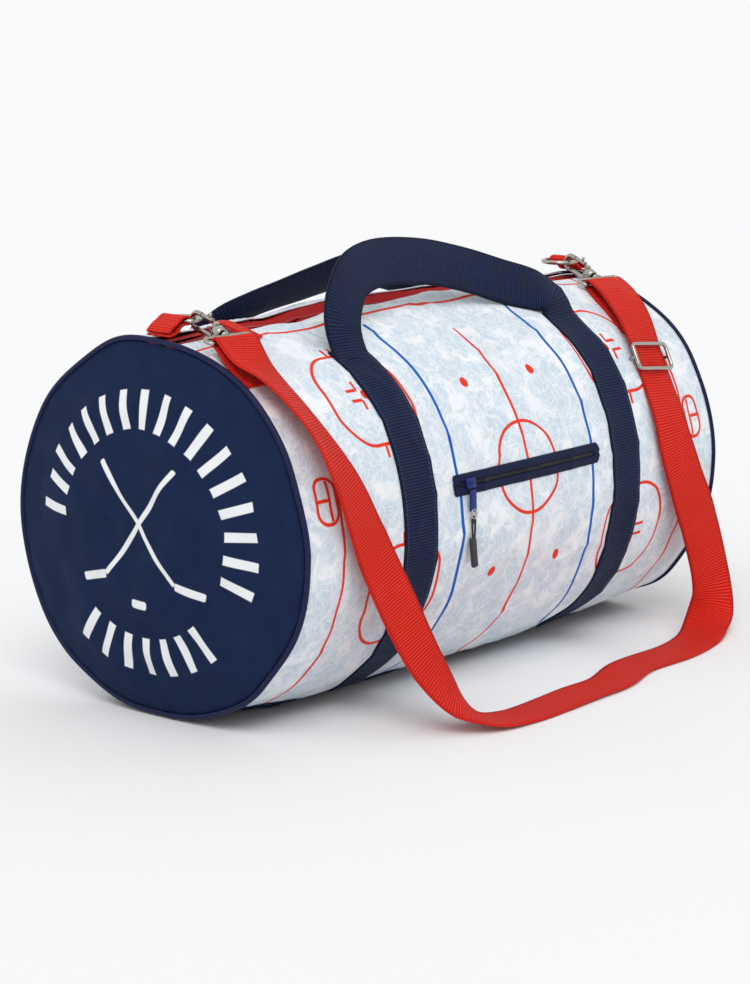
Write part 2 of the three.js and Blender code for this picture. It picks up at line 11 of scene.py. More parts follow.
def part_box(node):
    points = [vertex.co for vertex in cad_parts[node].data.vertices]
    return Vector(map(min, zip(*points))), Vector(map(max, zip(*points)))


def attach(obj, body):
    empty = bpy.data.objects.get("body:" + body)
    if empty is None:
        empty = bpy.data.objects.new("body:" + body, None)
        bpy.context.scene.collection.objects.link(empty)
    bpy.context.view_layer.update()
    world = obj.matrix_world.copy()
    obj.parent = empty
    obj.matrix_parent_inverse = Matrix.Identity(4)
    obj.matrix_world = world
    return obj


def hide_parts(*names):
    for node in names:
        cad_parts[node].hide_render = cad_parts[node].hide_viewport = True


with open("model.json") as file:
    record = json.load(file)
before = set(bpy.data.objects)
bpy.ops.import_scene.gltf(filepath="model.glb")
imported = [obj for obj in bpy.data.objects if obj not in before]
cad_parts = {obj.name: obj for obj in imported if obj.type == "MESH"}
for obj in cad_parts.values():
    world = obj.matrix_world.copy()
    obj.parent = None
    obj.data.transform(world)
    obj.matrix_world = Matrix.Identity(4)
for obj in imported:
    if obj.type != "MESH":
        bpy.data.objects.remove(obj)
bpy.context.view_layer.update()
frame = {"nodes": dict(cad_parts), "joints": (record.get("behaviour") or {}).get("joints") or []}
joints = {joint["name"]: joint for joint in frame["joints"]}

# Camera.
view = {"place": (-1.7866, -1.4766, 0.5955), "target": (-0.1852, -0.1440, 0.1792), "lens": 106.6}
camera = bpy.data.objects.new("camera", bpy.data.cameras.new("camera"))
camera.data.lens = view["lens"]
camera.data.sensor_width = 36
camera.location = view["place"]
look = Vector(view["target"]) - Vector(view["place"])
camera.rotation_euler = look.to_track_quat("-Z", "Y").to_euler()
bpy.context.scene.collection.objects.link(camera)
bpy.context.scene.camera = camera
bpy.context.scene.view_settings.view_transform = "Standard"
print("camera placed")


# Materials.
def toLinear(code):
    parts = [int(code[i:i + 2], 16) / 255 for i in (0, 2, 4)]
    return tuple(c / 12.92 if c <= 0.04045 else ((c + 0.055) / 1.055) ** 2.4 for c in parts) + (1.0,)


def addNode(tree, kind, settings=None, links=None, out=0):
    # A shader node with its settings and links, given back as one of its outputs or a slice of them.
    node = tree.nodes.new("ShaderNode" + kind)
    for name, value in (settings or {}).items():
        setattr(node, name, value)
    for socket, value in (links or {}).items():
        if isinstance(value, bpy.types.NodeSocket):
            tree.links.new(value, node.inputs[socket])
        else:
            node.inputs[socket].default_value = value
    return node.outputs[out]


def calculate(tree, operation, *values):
    # One step of arithmetic on sockets and numbers.
    return addNode(tree, "Math", {"operation": operation}, dict(enumerate(values)))


def blendColours(tree, share, first, second):
    return addNode(tree, "Mix", {"data_type": "RGBA"}, {0: share, 6: first, 7: second}, out=2)


def newMaterial(name, constants):
    material = bpy.data.materials.new(name)
    material.use_nodes = True
    shader = material.node_tree.nodes["Principled BSDF"]
    for socket, value in constants.items():
        shader.inputs[socket].default_value = value
    return material, material.node_tree, shader


def addBump(tree, shader, height, distance, strength=1.0):
    links = {"Height": height, "Distance": distance, "Strength": strength}
    tree.links.new(addNode(tree, "Bump", {}, links), shader.inputs["Normal"])


def surfacePoint(tree):
    # Metres along and across the cloth, from the piece's own UV map.
    return addNode(tree, "UVMap", {"uv_map": "surface"})


def objectPoint(tree):
    return addNode(tree, "TexCoord", {}, {}, out="Object")


def threads(tree, point, pitch):
    # Over and under of a plain weave, from two crossing waves.
    axes = addNode(tree, "SeparateXYZ", {}, {0: point}, out=slice(3))
    turns = [calculate(tree, "MULTIPLY", axes[i], 2 * pi / pitch) for i in (0, 1)]
    return calculate(tree, "MULTIPLY", *(calculate(tree, "SINE", turn) for turn in turns))


printing = {
    "ice": "c9d8e4", "frost": "eef1f4", "blush": "dbdce0", "red": "e2341b", "blue": "005ab2",
    "line": 0.0027, "weavePitch": 0.0007, "top": 0.2278,
    "corner": 0.0004, "edgeBlur": (-0.0003, 0.0004), "drift": 0.006,
}


def markDistance(tree, point, mark):
    # Signed distance, negative inside, to a round-cornered box: filled, or only its outline.
    wide, high = mark.get("size", (0, 0))
    radius = mark.get("radius", printing["corner"])
    away = addNode(tree, "VectorMath", {"operation": "SUBTRACT"}, {0: point, 1: (*mark["at"], 0)})
    if "size" in mark:
        sides = addNode(tree, "VectorMath", {"operation": "ABSOLUTE"}, {0: away})
        half = (max(wide / 2 - radius, 0), max(high / 2 - radius, 0), 0)
        over = addNode(tree, "VectorMath", {"operation": "SUBTRACT"}, {0: sides, 1: half})
        away = addNode(tree, "VectorMath", {"operation": "MAXIMUM"}, {0: over, 1: (0, 0, 0)})
    length = addNode(tree, "VectorMath", {"operation": "LENGTH"}, {0: away}, out="Value")
    distance = calculate(tree, "SUBTRACT", length, radius)
    if mark["form"] == "outline":
        return calculate(tree, "SUBTRACT", calculate(tree, "ABSOLUTE", distance), printing["line"] / 2)
    return distance


def printCover(tree, distance):
    # Ink from a signed distance, its edge as soft as a print's.
    inner, outer = printing["edgeBlur"]
    return addNode(tree, "MapRange", {}, {0: distance, 1: inner, 2: outer, 3: 1.0, 4: 0.0})


def marksCover(tree, point, marks):
    nearest = markDistance(tree, point, marks[0])
    for mark in marks[1:]:
        nearest = calculate(tree, "MINIMUM", nearest, markDistance(tree, point, mark))
    return printCover(tree, nearest)


def faceoffMarks(x, y, radius):
    line = printing["line"]
    marks = [{"form": "outline", "at": (x, y), "size": (2 * radius, 2 * radius), "radius": radius * 0.75}]
    marks.append({"form": "dot", "at": (x, y), "radius": 0.004})
    for across in (-1, 1):
        for up in (-1, 1):
            marks.append({"form": "bar", "at": (x + across * 0.0125, y + up * 0.0045), "size": (0.012, line)})
            marks.append({"form": "bar", "at": (x + across * 0.0065, y + up * 0.0085), "size": (line, 0.008)})
        marks.append({"form": "bar", "at": (x + across * 0.004, y + radius + 0.005), "size": (line, 0.010)})
        marks.append({"form": "bar", "at": (x + across * 0.004, y - radius - 0.005), "size": (line, 0.010)})
    return marks


def printedFabric():
    # Smooth polyester with an all-over print: it reads as a matt, faintly toothed cloth.
    material, tree, shader = newMaterial("printedPolyester", {"Roughness": 0.65, "Specular IOR Level": 0.22})
    point = surfacePoint(tree)
    # Skated ice: cloudy blue patches under three nets of pale scratches.
    warp = addNode(tree, "TexNoise", {},
                   {"Vector": point, "Scale": 48.0, "Detail": 4.0}, out="Color")
    bent = addNode(tree, "VectorMath", {"operation": "MULTIPLY_ADD"},
                   {0: warp, 1: (0.03, 0.03, 0), 2: point})
    frost = addNode(tree, "TexNoise", {},
                    {"Vector": bent, "Scale": 34.0, "Detail": 6.0, "Roughness": 0.72})
    cover = addNode(tree, "MapRange", {}, {0: frost, 1: 0.50, 2: 0.565, 3: 0.0, 4: 0.95})
    for turn, scale, width in ((0.4, 95.0, 0.05), (-0.9, 58.0, 0.045), (1.7, 150.0, 0.055)):
        turned = addNode(tree, "Mapping", {}, {0: bent, 2: (0, 0, turn), 3: (1.0, 0.7, 1.0)})
        settings = {"feature": "DISTANCE_TO_EDGE"}
        crack = addNode(tree, "TexVoronoi", settings, {"Vector": turned, "Scale": scale})
        streak = addNode(tree, "MapRange", {}, {0: crack, 1: 0.0, 2: width, 3: 1.0, 4: 0.0})
        cover = calculate(tree, "MAXIMUM", cover, calculate(tree, "MULTIPLY", streak, 0.8))
    ground = blendColours(tree, cover, toLinear(printing["ice"]), toLinear(printing["frost"]))
    patch = addNode(tree, "TexNoise", {}, {"Vector": point, "Scale": 11.0, "Detail": 2.0})
    tint = addNode(tree, "MapRange", {}, {0: patch, 1: 0.52, 2: 0.75, 3: 0.0, 4: 0.4})
    ground = blendColours(tree, tint, ground, toLinear(printing["blush"]))
    # The print is the same on both sides of the bag's middle and of its top line.
    mirrored = addNode(tree, "VectorMath", {"operation": "ABSOLUTE"}, {0: point})
    axes = addNode(tree, "SeparateXYZ", {}, {0: point}, out=slice(3))
    sides = addNode(tree, "SeparateXYZ", {}, {0: mirrored}, out=slice(3))
    fromTop = calculate(tree, "ABSOLUTE", calculate(tree, "SUBTRACT", axes[1], printing["top"]))
    folded = addNode(tree, "CombineXYZ", {},
                     {0: sides[0], 1: calculate(tree, "SUBTRACT", printing["top"], fromTop)})
    drift = addNode(tree, "TexNoise", {},
                    {"Vector": folded, "Scale": 18.0, "Detail": 1.0}, out="Color")
    # The lines wander by a few millimetres, but not across the middle line.
    growth = {0: sides[0], 1: 0.0, 2: 0.03, 3: 0.0, 4: printing["drift"]}
    ease = addNode(tree, "MapRange", {}, growth)
    reach = addNode(tree, "CombineXYZ", {}, {0: ease, 1: printing["drift"]})
    centred = addNode(tree, "VectorMath", {"operation": "SUBTRACT"}, {0: drift, 1: (0.5, 0.5, 0.5)})
    folded = addNode(tree, "VectorMath", {"operation": "MULTIPLY_ADD"},
                     {0: centred, 1: reach, 2: folded})
    line = printing["line"]
    red = [
        {"form": "outline", "at": (0.002, 0.030), "radius": 0.0345},
        {"form": "bar", "at": (0.0, -0.012), "size": (line * 1.1, 0.34)},
        {"form": "dot", "at": (0.041, 0.104), "radius": 0.0042},
        {"form": "dot", "at": (0.041, -0.046), "radius": 0.0042},
        {"form": "bar", "at": (0.222, 0.03), "size": (line, 0.40)},
        {"form": "bar", "at": (0.14, 0.193), "size": (0.30, line)},
        {"form": "outline", "at": (0.234, 0.038), "size": (0.020, 0.034), "radius": 0.009},
        {"form": "bar", "at": (0.238, 0.038), "size": (0.015, line)},
        {"form": "bar", "at": (0.231, 0.038), "size": (line, 0.030)},
    ]
    red += faceoffMarks(0.152, 0.110, 0.041) + faceoffMarks(0.148, -0.046, 0.040)
    blue = [
        {"form": "bar", "at": (0.086, -0.02), "size": (0.0032, 0.40)},
        {"form": "bar", "at": (0.206, 0.040), "size": (0.010, 0.030)},
    ]
    colour = blendColours(tree, marksCover(tree, folded, blue), ground, toLinear(printing["blue"]))
    colour = blendColours(tree, marksCover(tree, folded, red), colour, toLinear(printing["red"]))
    tree.links.new(colour, shader.inputs["Base Color"])
    addBump(tree, shader, threads(tree, point, printing["weavePitch"]), 0.00008, 0.6)
    return material


emblem = {
    "ground": "0c1b3a", "grain": "17284c", "white": "e9ebee", "centre": (0, 0.143), "corner": 0.0014,
    "shaft": (0.112, 0.0040), "lean": 40, "blade": (0.026, 0.0062), "bladeLean": 14,
    "puck": (0.017, 0.0062), "puckCorner": 0.0022, "bars": 30, "ringRadius": 0.0935,
    "barHalf": (0.0035, 0.0145), "gaps": ((-36, 12), (-156, 24)), "gapScale": 0.09, "thread": 0.0011,
    "shaftAt": (0.001, 0.010), "bladeAt": (-0.048, -0.0365), "puckAt": (0, -0.052),
}


def slantedBar(tree, point, centre, angle, size):
    # Distance to a bar turned by an angle about its own centre.
    shifted = addNode(tree, "VectorMath", {"operation": "SUBTRACT"}, {0: point, 1: (*centre, 0)})
    turned = addNode(tree, "VectorRotate", {"rotation_type": "Z_AXIS"},
                     {"Vector": shifted, "Angle": -angle})
    return markDistance(tree, turned, {"form": "bar", "at": (0, 0), "size": size, "radius": emblem["corner"]})


def navyFabric(decorated):
    # Close-woven navy canvas: fine crossing threads, a little nap and soft mottling.
    name = "navyCanvasPrinted" if decorated else "navyCanvas"
    material, tree, shader = newMaterial(name, {"Roughness": 0.75, "Specular IOR Level": 0.12})
    place = objectPoint(tree)
    axes = addNode(tree, "SeparateXYZ", {}, {0: place}, out=slice(3))
    across = calculate(tree, "MULTIPLY", axes[1], -1.0)
    raised = calculate(tree, "SUBTRACT", axes[2], emblem["centre"][1])
    flat = addNode(tree, "CombineXYZ", {}, {0: across, 1: raised})
    if not decorated:
        flat = addNode(tree, "CombineXYZ", {}, {0: axes[0], 1: axes[1]})
    weave = threads(tree, flat, emblem["thread"])
    mottle = addNode(tree, "TexNoise", {}, {"Vector": place, "Scale": 60.0, "Detail": 4.0})
    share = calculate(tree, "ADD", calculate(tree, "MULTIPLY", weave, 0.3), mottle)
    colour = blendColours(tree, share, toLinear(emblem["ground"]), toLinear(emblem["grain"]))
    if decorated:
        # Two crossed sticks and a puck, all plain bars.
        pieces = []
        for side in (-1, 1):
            shaftAngle = radians(90 - side * emblem["lean"])
            bladeAngle = radians(side * emblem["bladeLean"])
            for part, angle in (("shaft", shaftAngle), ("blade", bladeAngle)):
                x, y = emblem[part + "At"]
                pieces.append(slantedBar(tree, flat, (side * x, y), angle, emblem[part]))
        puck = {"form": "bar", "at": emblem["puckAt"], "size": emblem["puck"], "radius": emblem["puckCorner"]}
        pieces.append(markDistance(tree, flat, puck))
        # The ring of bars: the nearest one's distance from its angle and its radius.
        radius = addNode(tree, "VectorMath", {"operation": "LENGTH"}, {0: flat}, out="Value")
        angle = calculate(tree, "ARCTAN2", raised, across)
        turn = calculate(tree, "FRACT", calculate(tree, "MULTIPLY", angle, emblem["bars"] / (2 * pi)))
        within = calculate(tree, "ABSOLUTE", calculate(tree, "SUBTRACT", turn, 0.5))
        arcLength = calculate(tree, "MULTIPLY", radius, 2 * pi / emblem["bars"])
        halfWidth, halfDepth = emblem["barHalf"]
        side = calculate(tree, "SUBTRACT", calculate(tree, "MULTIPLY", within, arcLength), halfWidth)
        ringOff = calculate(tree, "ABSOLUTE", calculate(tree, "SUBTRACT", radius, emblem["ringRadius"]))
        bar = calculate(tree, "MAXIMUM", side, calculate(tree, "SUBTRACT", ringOff, halfDepth))
        for centre, half in emblem["gaps"]:
            # Positive inside a gap, where the ring of bars is left open.
            facing = calculate(tree, "COSINE", calculate(tree, "SUBTRACT", angle, radians(centre)))
            inGap = calculate(tree, "SUBTRACT", facing, cos(radians(half)))
            bar = calculate(tree, "MAXIMUM", bar, calculate(tree, "MULTIPLY", inGap, emblem["gapScale"]))
        pieces.append(bar)
        nearest = pieces[0]
        for distance in pieces[1:]:
            nearest = calculate(tree, "MINIMUM", nearest, distance)
        colour = blendColours(tree, printCover(tree, nearest), colour, toLinear(emblem["white"]))
    tree.links.new(colour, shader.inputs["Base Color"])
    addBump(tree, shader, weave, 0.00012, 0.7)
    return material


ribs = {
    "pitch": 0.0023, "fine": 0.0011, "wobble": 0.0012, "halfWidth": 0.0172, "selvage": (-0.0006, 0.0008),
    "stitch": 0.0034, "gap": 0.28, "row": 0.0012, "rowHalf": 0.00045,
}


def webbing(name, paintedGrooveShade, crest, thread=None):
    # Cross-ribbed webbing: rounded ribs over the width, with painted shade between them, flatter at the
    # selvages.
    material, tree, shader = newMaterial(name, {"Roughness": 0.6, "Specular IOR Level": 0.16})
    point = surfacePoint(tree)
    axes = addNode(tree, "SeparateXYZ", {}, {0: point}, out=slice(3))
    wobble = addNode(tree, "TexNoise", {}, {"Vector": point, "Scale": 120.0, "Detail": 2.0})
    along = calculate(tree, "MULTIPLY_ADD", wobble, ribs["wobble"], axes[0])
    wave = calculate(tree, "SINE", calculate(tree, "MULTIPLY", along, pi / ribs["pitch"]))
    rib = calculate(tree, "ABSOLUTE", wave)
    fine = calculate(tree, "SINE", calculate(tree, "MULTIPLY", axes[1], 2 * pi / ribs["fine"]))
    fromEdge = calculate(tree, "SUBTRACT", ribs["halfWidth"], calculate(tree, "ABSOLUTE", axes[1]))
    outer, inner = ribs["selvage"]
    inside = addNode(tree, "MapRange", {}, {0: fromEdge, 1: outer, 2: inner, 3: 0.35, 4: 1.0})
    height = calculate(tree, "MULTIPLY", rib, inside)
    height = calculate(tree, "MULTIPLY_ADD", fine, 0.14, height)
    # Painted shade: the colour runs from the dark groove shade between the ribs to the crest colour on their
    # tops. A noise varies how deep that painted shade is along the webbing.
    shadeDepthNoise = addNode(tree, "TexNoise", {}, {"Vector": point, "Scale": 35.0, "Detail": 5.0})
    share = calculate(tree, "MULTIPLY", height, calculate(tree, "MULTIPLY_ADD", shadeDepthNoise, 0.5, 0.7))
    colour = blendColours(tree, share, toLinear(paintedGrooveShade), toLinear(crest))
    if thread:
        # One row of topstitch inside each edge.
        offRow = calculate(tree, "ABSOLUTE", calculate(tree, "SUBTRACT", fromEdge, ribs["row"]))
        onRow = calculate(tree, "LESS_THAN", offRow, ribs["rowHalf"])
        step = calculate(tree, "FRACT", calculate(tree, "DIVIDE", axes[0], ribs["stitch"]))
        stitch = calculate(tree, "MULTIPLY", onRow, calculate(tree, "GREATER_THAN", step, ribs["gap"]))
        colour = blendColours(tree, stitch, colour, toLinear(thread))
        height = calculate(tree, "MAXIMUM", height, calculate(tree, "MULTIPLY", stitch, 1.3))
    tree.links.new(colour, shader.inputs["Base Color"])
    addBump(tree, shader, height, 0.0010, 0.9)
    return material


def wovenTape(name, dark, light):
    # Zip tape: a fine herringbone that is nearly plain from a step away.
    material, tree, shader = newMaterial(name, {"Roughness": 0.62, "Specular IOR Level": 0.15})
    point = surfacePoint(tree)
    axes = addNode(tree, "SeparateXYZ", {}, {0: point}, out=slice(3))
    fold = calculate(tree, "PINGPONG", axes[1], 0.002)
    slant = calculate(tree, "ADD", axes[0], fold)
    height = calculate(tree, "SINE", calculate(tree, "MULTIPLY", slant, 2 * pi / 0.0012))
    share = calculate(tree, "MULTIPLY_ADD", height, 0.35, 0.5)
    tree.links.new(blendColours(tree, share, toLinear(dark), toLinear(light)), shader.inputs["Base Color"])
    addBump(tree, shader, height, 0.0002, 0.6)
    return material


def speckled(name, dark, light, constants, scale, depth):
    # One colour with a fine uneven surface, for moulded, painted and plated pieces.
    material, tree, shader = newMaterial(name, constants)
    grain = addNode(tree, "TexNoise", {},
                    {"Vector": objectPoint(tree), "Scale": scale, "Detail": 5.0})
    tree.links.new(blendColours(tree, grain, toLinear(dark), toLinear(light)), shader.inputs["Base Color"])
    mean = constants["Roughness"]
    spread = addNode(tree, "MapRange", {},
                     {0: grain, 1: 0.3, 2: 0.7, 3: mean * 0.75, 4: mean * 1.3})
    tree.links.new(spread, shader.inputs["Roughness"])
    addBump(tree, shader, grain, depth, 0.5)
    return material


materials = {
    "printed_fabric": printedFabric(),
    "navy_fabric": navyFabric(False),
    "emblem_fabric": navyFabric(True),
    "navy_webbing": webbing("navyWebbing", "050a1f", "1a2950"),
    "stitched_webbing": webbing("stitchedNavyWebbing", "050a1f", "1a2950", "31406f"),
    "red_webbing": webbing("redWebbing", "b4100a", "f2311f"),
    "red_zip_tape": wovenTape("redZipTape", "8a0c12", "bd1a20"),
    "navy_zip_tape": wovenTape("navyZipTape", "080f28", "17234a"),
}
# Name, darkest and lightest colour, shader constants, grain scale and depth of each speckled finish.
finishes = {
    "navy_piping": ("coveredPiping", "0c1235", "181f48", {"Roughness": 0.45, "Specular IOR Level": 0.2},
                    900.0, 0.00006),
    "red_coil": ("redNylonCoil", "8a1216", "b01e24", {"Roughness": 0.35}, 700.0, 0.00004),
    "black_coil": ("blackNylonCoil", "0b0c10", "191b22", {"Roughness": 0.25}, 700.0, 0.00004),
    "nickel": ("nickelPlate", "97958f", "c2bfb8", {"Roughness": 0.17, "Metallic": 1.0}, 400.0, 0.00003),
    "blue_paint": ("blueEnamel", "071450", "10297c", {"Roughness": 0.3, "Specular IOR Level": 0.3},
                   600.0, 0.00003),
    "red_paint": ("redEnamel", "8f1318", "b8242a", {"Roughness": 0.3, "Coat Weight": 0.5}, 600.0, 0.00003),
    "charcoal_rubber": ("charcoalRubber", "1e2026", "34363e", {"Roughness": 0.55}, 900.0, 0.00008),
    "black_cord": ("blackCord", "101116", "26282e", {"Roughness": 0.75, "Sheen Weight": 0.3}, 1500.0, 0.0002),
    "pocket_lining": ("pocketLining", "c9ccd0", "dfe1e4", {"Roughness": 0.7}, 800.0, 0.00006),
}
for slot, finish in finishes.items():
    materials[slot] = speckled(*finish)
print("materials made")


# Making and placing of pieces.
def finishPiece(obj, slot, body, nodes=(), material=None):
    obj.data.materials.clear()
    obj.data.materials.append(materials[material or slot])
    bpy.context.scene.collection.objects.link(obj)
    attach(obj, body)
    if nodes:
        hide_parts(*nodes)
    return obj


def meshObject(name, work, smooth=True, outward=None):
    # An open sheet has no inside, so outward says which way its faces point.
    mesh = bpy.data.meshes.new(name)
    bmesh.ops.recalc_face_normals(work, faces=work.faces)
    if outward:
        facing = sum(face.normal.dot(outward(face.calc_center_median())) for face in work.faces)
        if facing < 0:
            bmesh.ops.reverse_faces(work, faces=work.faces)
    for face in work.faces:
        face.smooth = smooth
    work.to_mesh(mesh)
    work.free()
    return bpy.data.objects.new(name, mesh)


def laidGrid(columns, rows, place, coordinate, hole=None):
    # A grid whose corners run from 0 to 1 both ways, laid where place says.
    work = bmesh.new()
    layer = work.loops.layers.uv.new("surface")
    bmesh.ops.create_grid(work, x_segments=columns, y_segments=rows, size=0.5)
    for vertex in work.verts:
        vertex.co += Vector((0.5, 0.5, 0))
    if hole:
        hole(work)
    for face in work.faces:
        for loop in face.loops:
            loop[layer].uv = coordinate(loop.vert.co.x, loop.vert.co.y)
    for vertex in work.verts:
        vertex.co = place(vertex.co.x, vertex.co.y)
    return work


def softenEdges(work, offset, segments=3):
    bmesh.ops.bevel(work, geom=work.edges[:], offset=offset, segments=segments, affect="EDGES", profile=0.5,
                    material=-1)


def thicken(obj, thickness, offset=-1.0):
    modifier = obj.modifiers.new("thickness", "SOLIDIFY")
    modifier.thickness = thickness
    modifier.offset = offset
    return obj


def wirePiece(name, points, radius, closed=False):
    data = bpy.data.curves.new(name, "CURVE")
    data.dimensions = "3D"
    data.bevel_depth = radius
    data.bevel_resolution = 4
    data.use_fill_caps = not closed
    spline = data.splines.new("POLY")
    spline.points.add(len(points) - 1)
    for entry, point in zip(spline.points, points):
        entry.co = (*point, 1)
    spline.use_cyclic_u = closed
    return bpy.data.objects.new(name, data)


# The barrel's soft surface. An angle of 0 faces the front, 90 the top and -90 the floor.
barrel = {
    "radius": 0.145, "halfLength": 0.2615, "axisHeight": 0.141, "belly": 0.0065, "bandPinch": 0.0016,
    "seamRipple": 0.0011, "dent": 0.0032, "crease": 0.0016, "topEdge": 84.0, "baseEdge": -62.0,
    "endLift": 0.0062, "rimWander": 0.0042, "bandCentre": 0.133, "shell": 0.0012, "base": 0.0015,
}


def smoothStep(value, low, high):
    share = min(1.0, max(0.0, (value - low) / (high - low)))
    return share * share * (3 - 2 * share)


def barrelRadius(x, angle):
    along = x / barrel["halfLength"]
    middle = max(0.0, 1 - along * along)
    turn = radians(angle)
    around = Vector((cos(turn), sin(turn), 0))
    spot = Vector((x * 7.5, around.x * 1.7, around.y * 1.7))
    frontShare = 0.35 + 0.65 * smoothStep(cos(turn - radians(5)), -0.4, 0.8)
    frontShare *= 0.45 + 0.55 * smoothStep(abs((angle + 180) % 360 - 180), 20, 45)
    radius = barrel["radius"] - 0.0008 + barrel["belly"] * middle * frontShare
    for centre in (-barrel["bandCentre"], barrel["bandCentre"]):
        radius -= barrel["bandPinch"] * exp(-((x - centre) / 0.022) ** 2)
    radius += barrel["dent"] * noise.noise(spot) * sqrt(middle)
    ridged = 1 - abs(noise.noise(spot * 2.3 + Vector((5.1, 2.2, 8.4)))) * 2
    radius += barrel["crease"] * max(0.0, ridged) ** 3 * sqrt(middle)
    low = smoothStep(-around.y, 0.72, 1.0) * smoothStep(abs(x), 0.185, barrel["halfLength"])
    radius -= barrel["endLift"] * low
    outer = smoothStep(abs(x), 0.19, barrel["halfLength"])
    radius += barrel["rimWander"] * outer * noise.noise(Vector((around.x * 2.2, around.y * 2.2, x * 4)))
    seam = exp(-(barrel["halfLength"] - abs(x)) / 0.022)
    wave = sin(turn * 27 + 4 * noise.noise(Vector((around.x * 2, around.y * 2, x * 3))))
    inner = smoothStep(barrel["halfLength"] - abs(x), 0.0, 0.006)
    radius += barrel["seamRipple"] * wave * seam * inner
    return radius


def fromAxis(place):
    return Vector((0, place.y, place.z - barrel["axisHeight"]))


def barrelPoint(x, angle, lift=0.0):
    radius = barrelRadius(x, angle) + lift
    turn = radians(angle)
    height = barrel["axisHeight"] + radius * sin(turn)
    floor = 0.0006 - lift if lift < 0 else 0.0006
    return Vector((x, -radius * cos(turn), max(height, floor)))


def zipShift(x):
    # The top zip wanders off its line in the middle of the bag, and keeps to it at both ends.
    free = max(0.0, 1 - (x / 0.185) ** 2)
    return free * (1.6 * sin(x * 24 + 0.5) + 0.9 * sin(x * 55))


def onBarrel(fromAngle, toAngle, lift=0.0, span=None, wander=None):
    half = span or barrel["halfLength"]

    def angleAt(x, v):
        low = fromAngle(x) if callable(fromAngle) else fromAngle
        high = toAngle(x) if callable(toAngle) else toAngle
        drift = zipShift(x) * smoothStep(v if wander == "high" else 1 - v, 0.75, 1.0) if wander else 0.0
        return low + (high - low) * v + drift

    def place(u, v):
        x = (2 * u - 1) * half
        rise = lift(x, angleAt(x, v)) if callable(lift) else lift
        return barrelPoint(x, angleAt(x, v), rise)

    def coordinate(u, v):
        x = (2 * u - 1) * half
        return (x, radians(angleAt(x, v)) * barrel["radius"])

    return place, coordinate


def laidPiece(name, work, thickness, slot, node, material=None):
    # A sheet of cloth laid on the barrel.
    sheet = thicken(meshObject(name, work, outward=fromAxis), thickness)
    finishPiece(sheet, slot, "bag", [node], material)


def topRoll(x, angle):
    # The cloth rolls up beside the zip, more in the middle of the bag and on its far side.
    away = abs(90 + zipShift(x) - angle)
    near = smoothStep(-away, -26, -8)
    dip = smoothStep(-away, -9, -5) if angle < 90 + zipShift(x) else 0.0
    middle = max(0.0, 1 - (x / 0.2) ** 2)
    return near * (0.0012 + 0.004 * middle) - dip * 0.0026


pocket = {
    "angle": 11.0, "halfLength": 0.091, "halfHeight": 0.0068, "sliderX": -0.076,
    "tapeLift": 0.0012, "tapeOver": 0.0013, "tapeEnd": 0.0025, "slot": 0.72, "tape": 0.0012,
    "teeth": 120, "tooth": (0.0009, 0.0020, 0.0016), "coilEnd": 0.005, "coilLift": 0.0002,
}


def pocketWindow(fromAngle, toAngle):
    spread = pocket["halfHeight"] / barrel["radius"] * 180 / pi
    lowU = 0.5 - pocket["halfLength"] / barrel["halfLength"] / 2
    lowV = (pocket["angle"] - spread - fromAngle) / (toAngle - fromAngle)
    highV = (pocket["angle"] + spread - fromAngle) / (toAngle - fromAngle)

    def cutHole(work):
        def within(co):
            return lowU < co.x < 1 - lowU and lowV < co.y < highV

        gone = [face for face in work.faces if all(within(v.co) for v in face.verts)]
        bmesh.ops.delete(work, geom=gone, context="FACES")
        for vertex in work.verts:
            if within(vertex.co):
                reach = {
                    "left": vertex.co.x - lowU, "right": 1 - lowU - vertex.co.x,
                    "down": (vertex.co.y - lowV) * 0.7, "up": (highV - vertex.co.y) * 0.7,
                }
                side = min(reach, key=reach.get)
                if side in ("left", "right"):
                    vertex.co.x = lowU if side == "left" else 1 - lowU
                else:
                    vertex.co.y = lowV if side == "down" else highV

    return cutHole


place, coordinate = onBarrel(barrel["baseEdge"], barrel["topEdge"], topRoll, wander="high")
work = laidGrid(210, 150, place, coordinate, pocketWindow(barrel["baseEdge"], barrel["topEdge"]))
laidPiece("frontPanel", work, barrel["shell"], "printed_fabric", "front_panel")
place, coordinate = onBarrel(180 - barrel["topEdge"], 180 - barrel["baseEdge"], topRoll, wander="low")
work = laidGrid(210, 140, place, coordinate)
laidPiece("backPanel", work, barrel["shell"], "printed_fabric", "back_panel")
place, coordinate = onBarrel(-180 - barrel["baseEdge"], barrel["baseEdge"])
work = laidGrid(120, 40, place, coordinate)
laidPiece("basePanel", work, barrel["base"], "navy_fabric", "base_panel")
print("barrel panels made")


# Crowned ends and their piping.
ends = {
    "crown": 0.021, "rim": 0.0012, "thickness": 0.0015, "offset": 0.0022, "sag": 0.0065, "wrinkle": 0.0044,
    "pucker": 0.0009, "puckers": 31, "nearPiping": 0.0022, "farPiping": 0.0016,
}


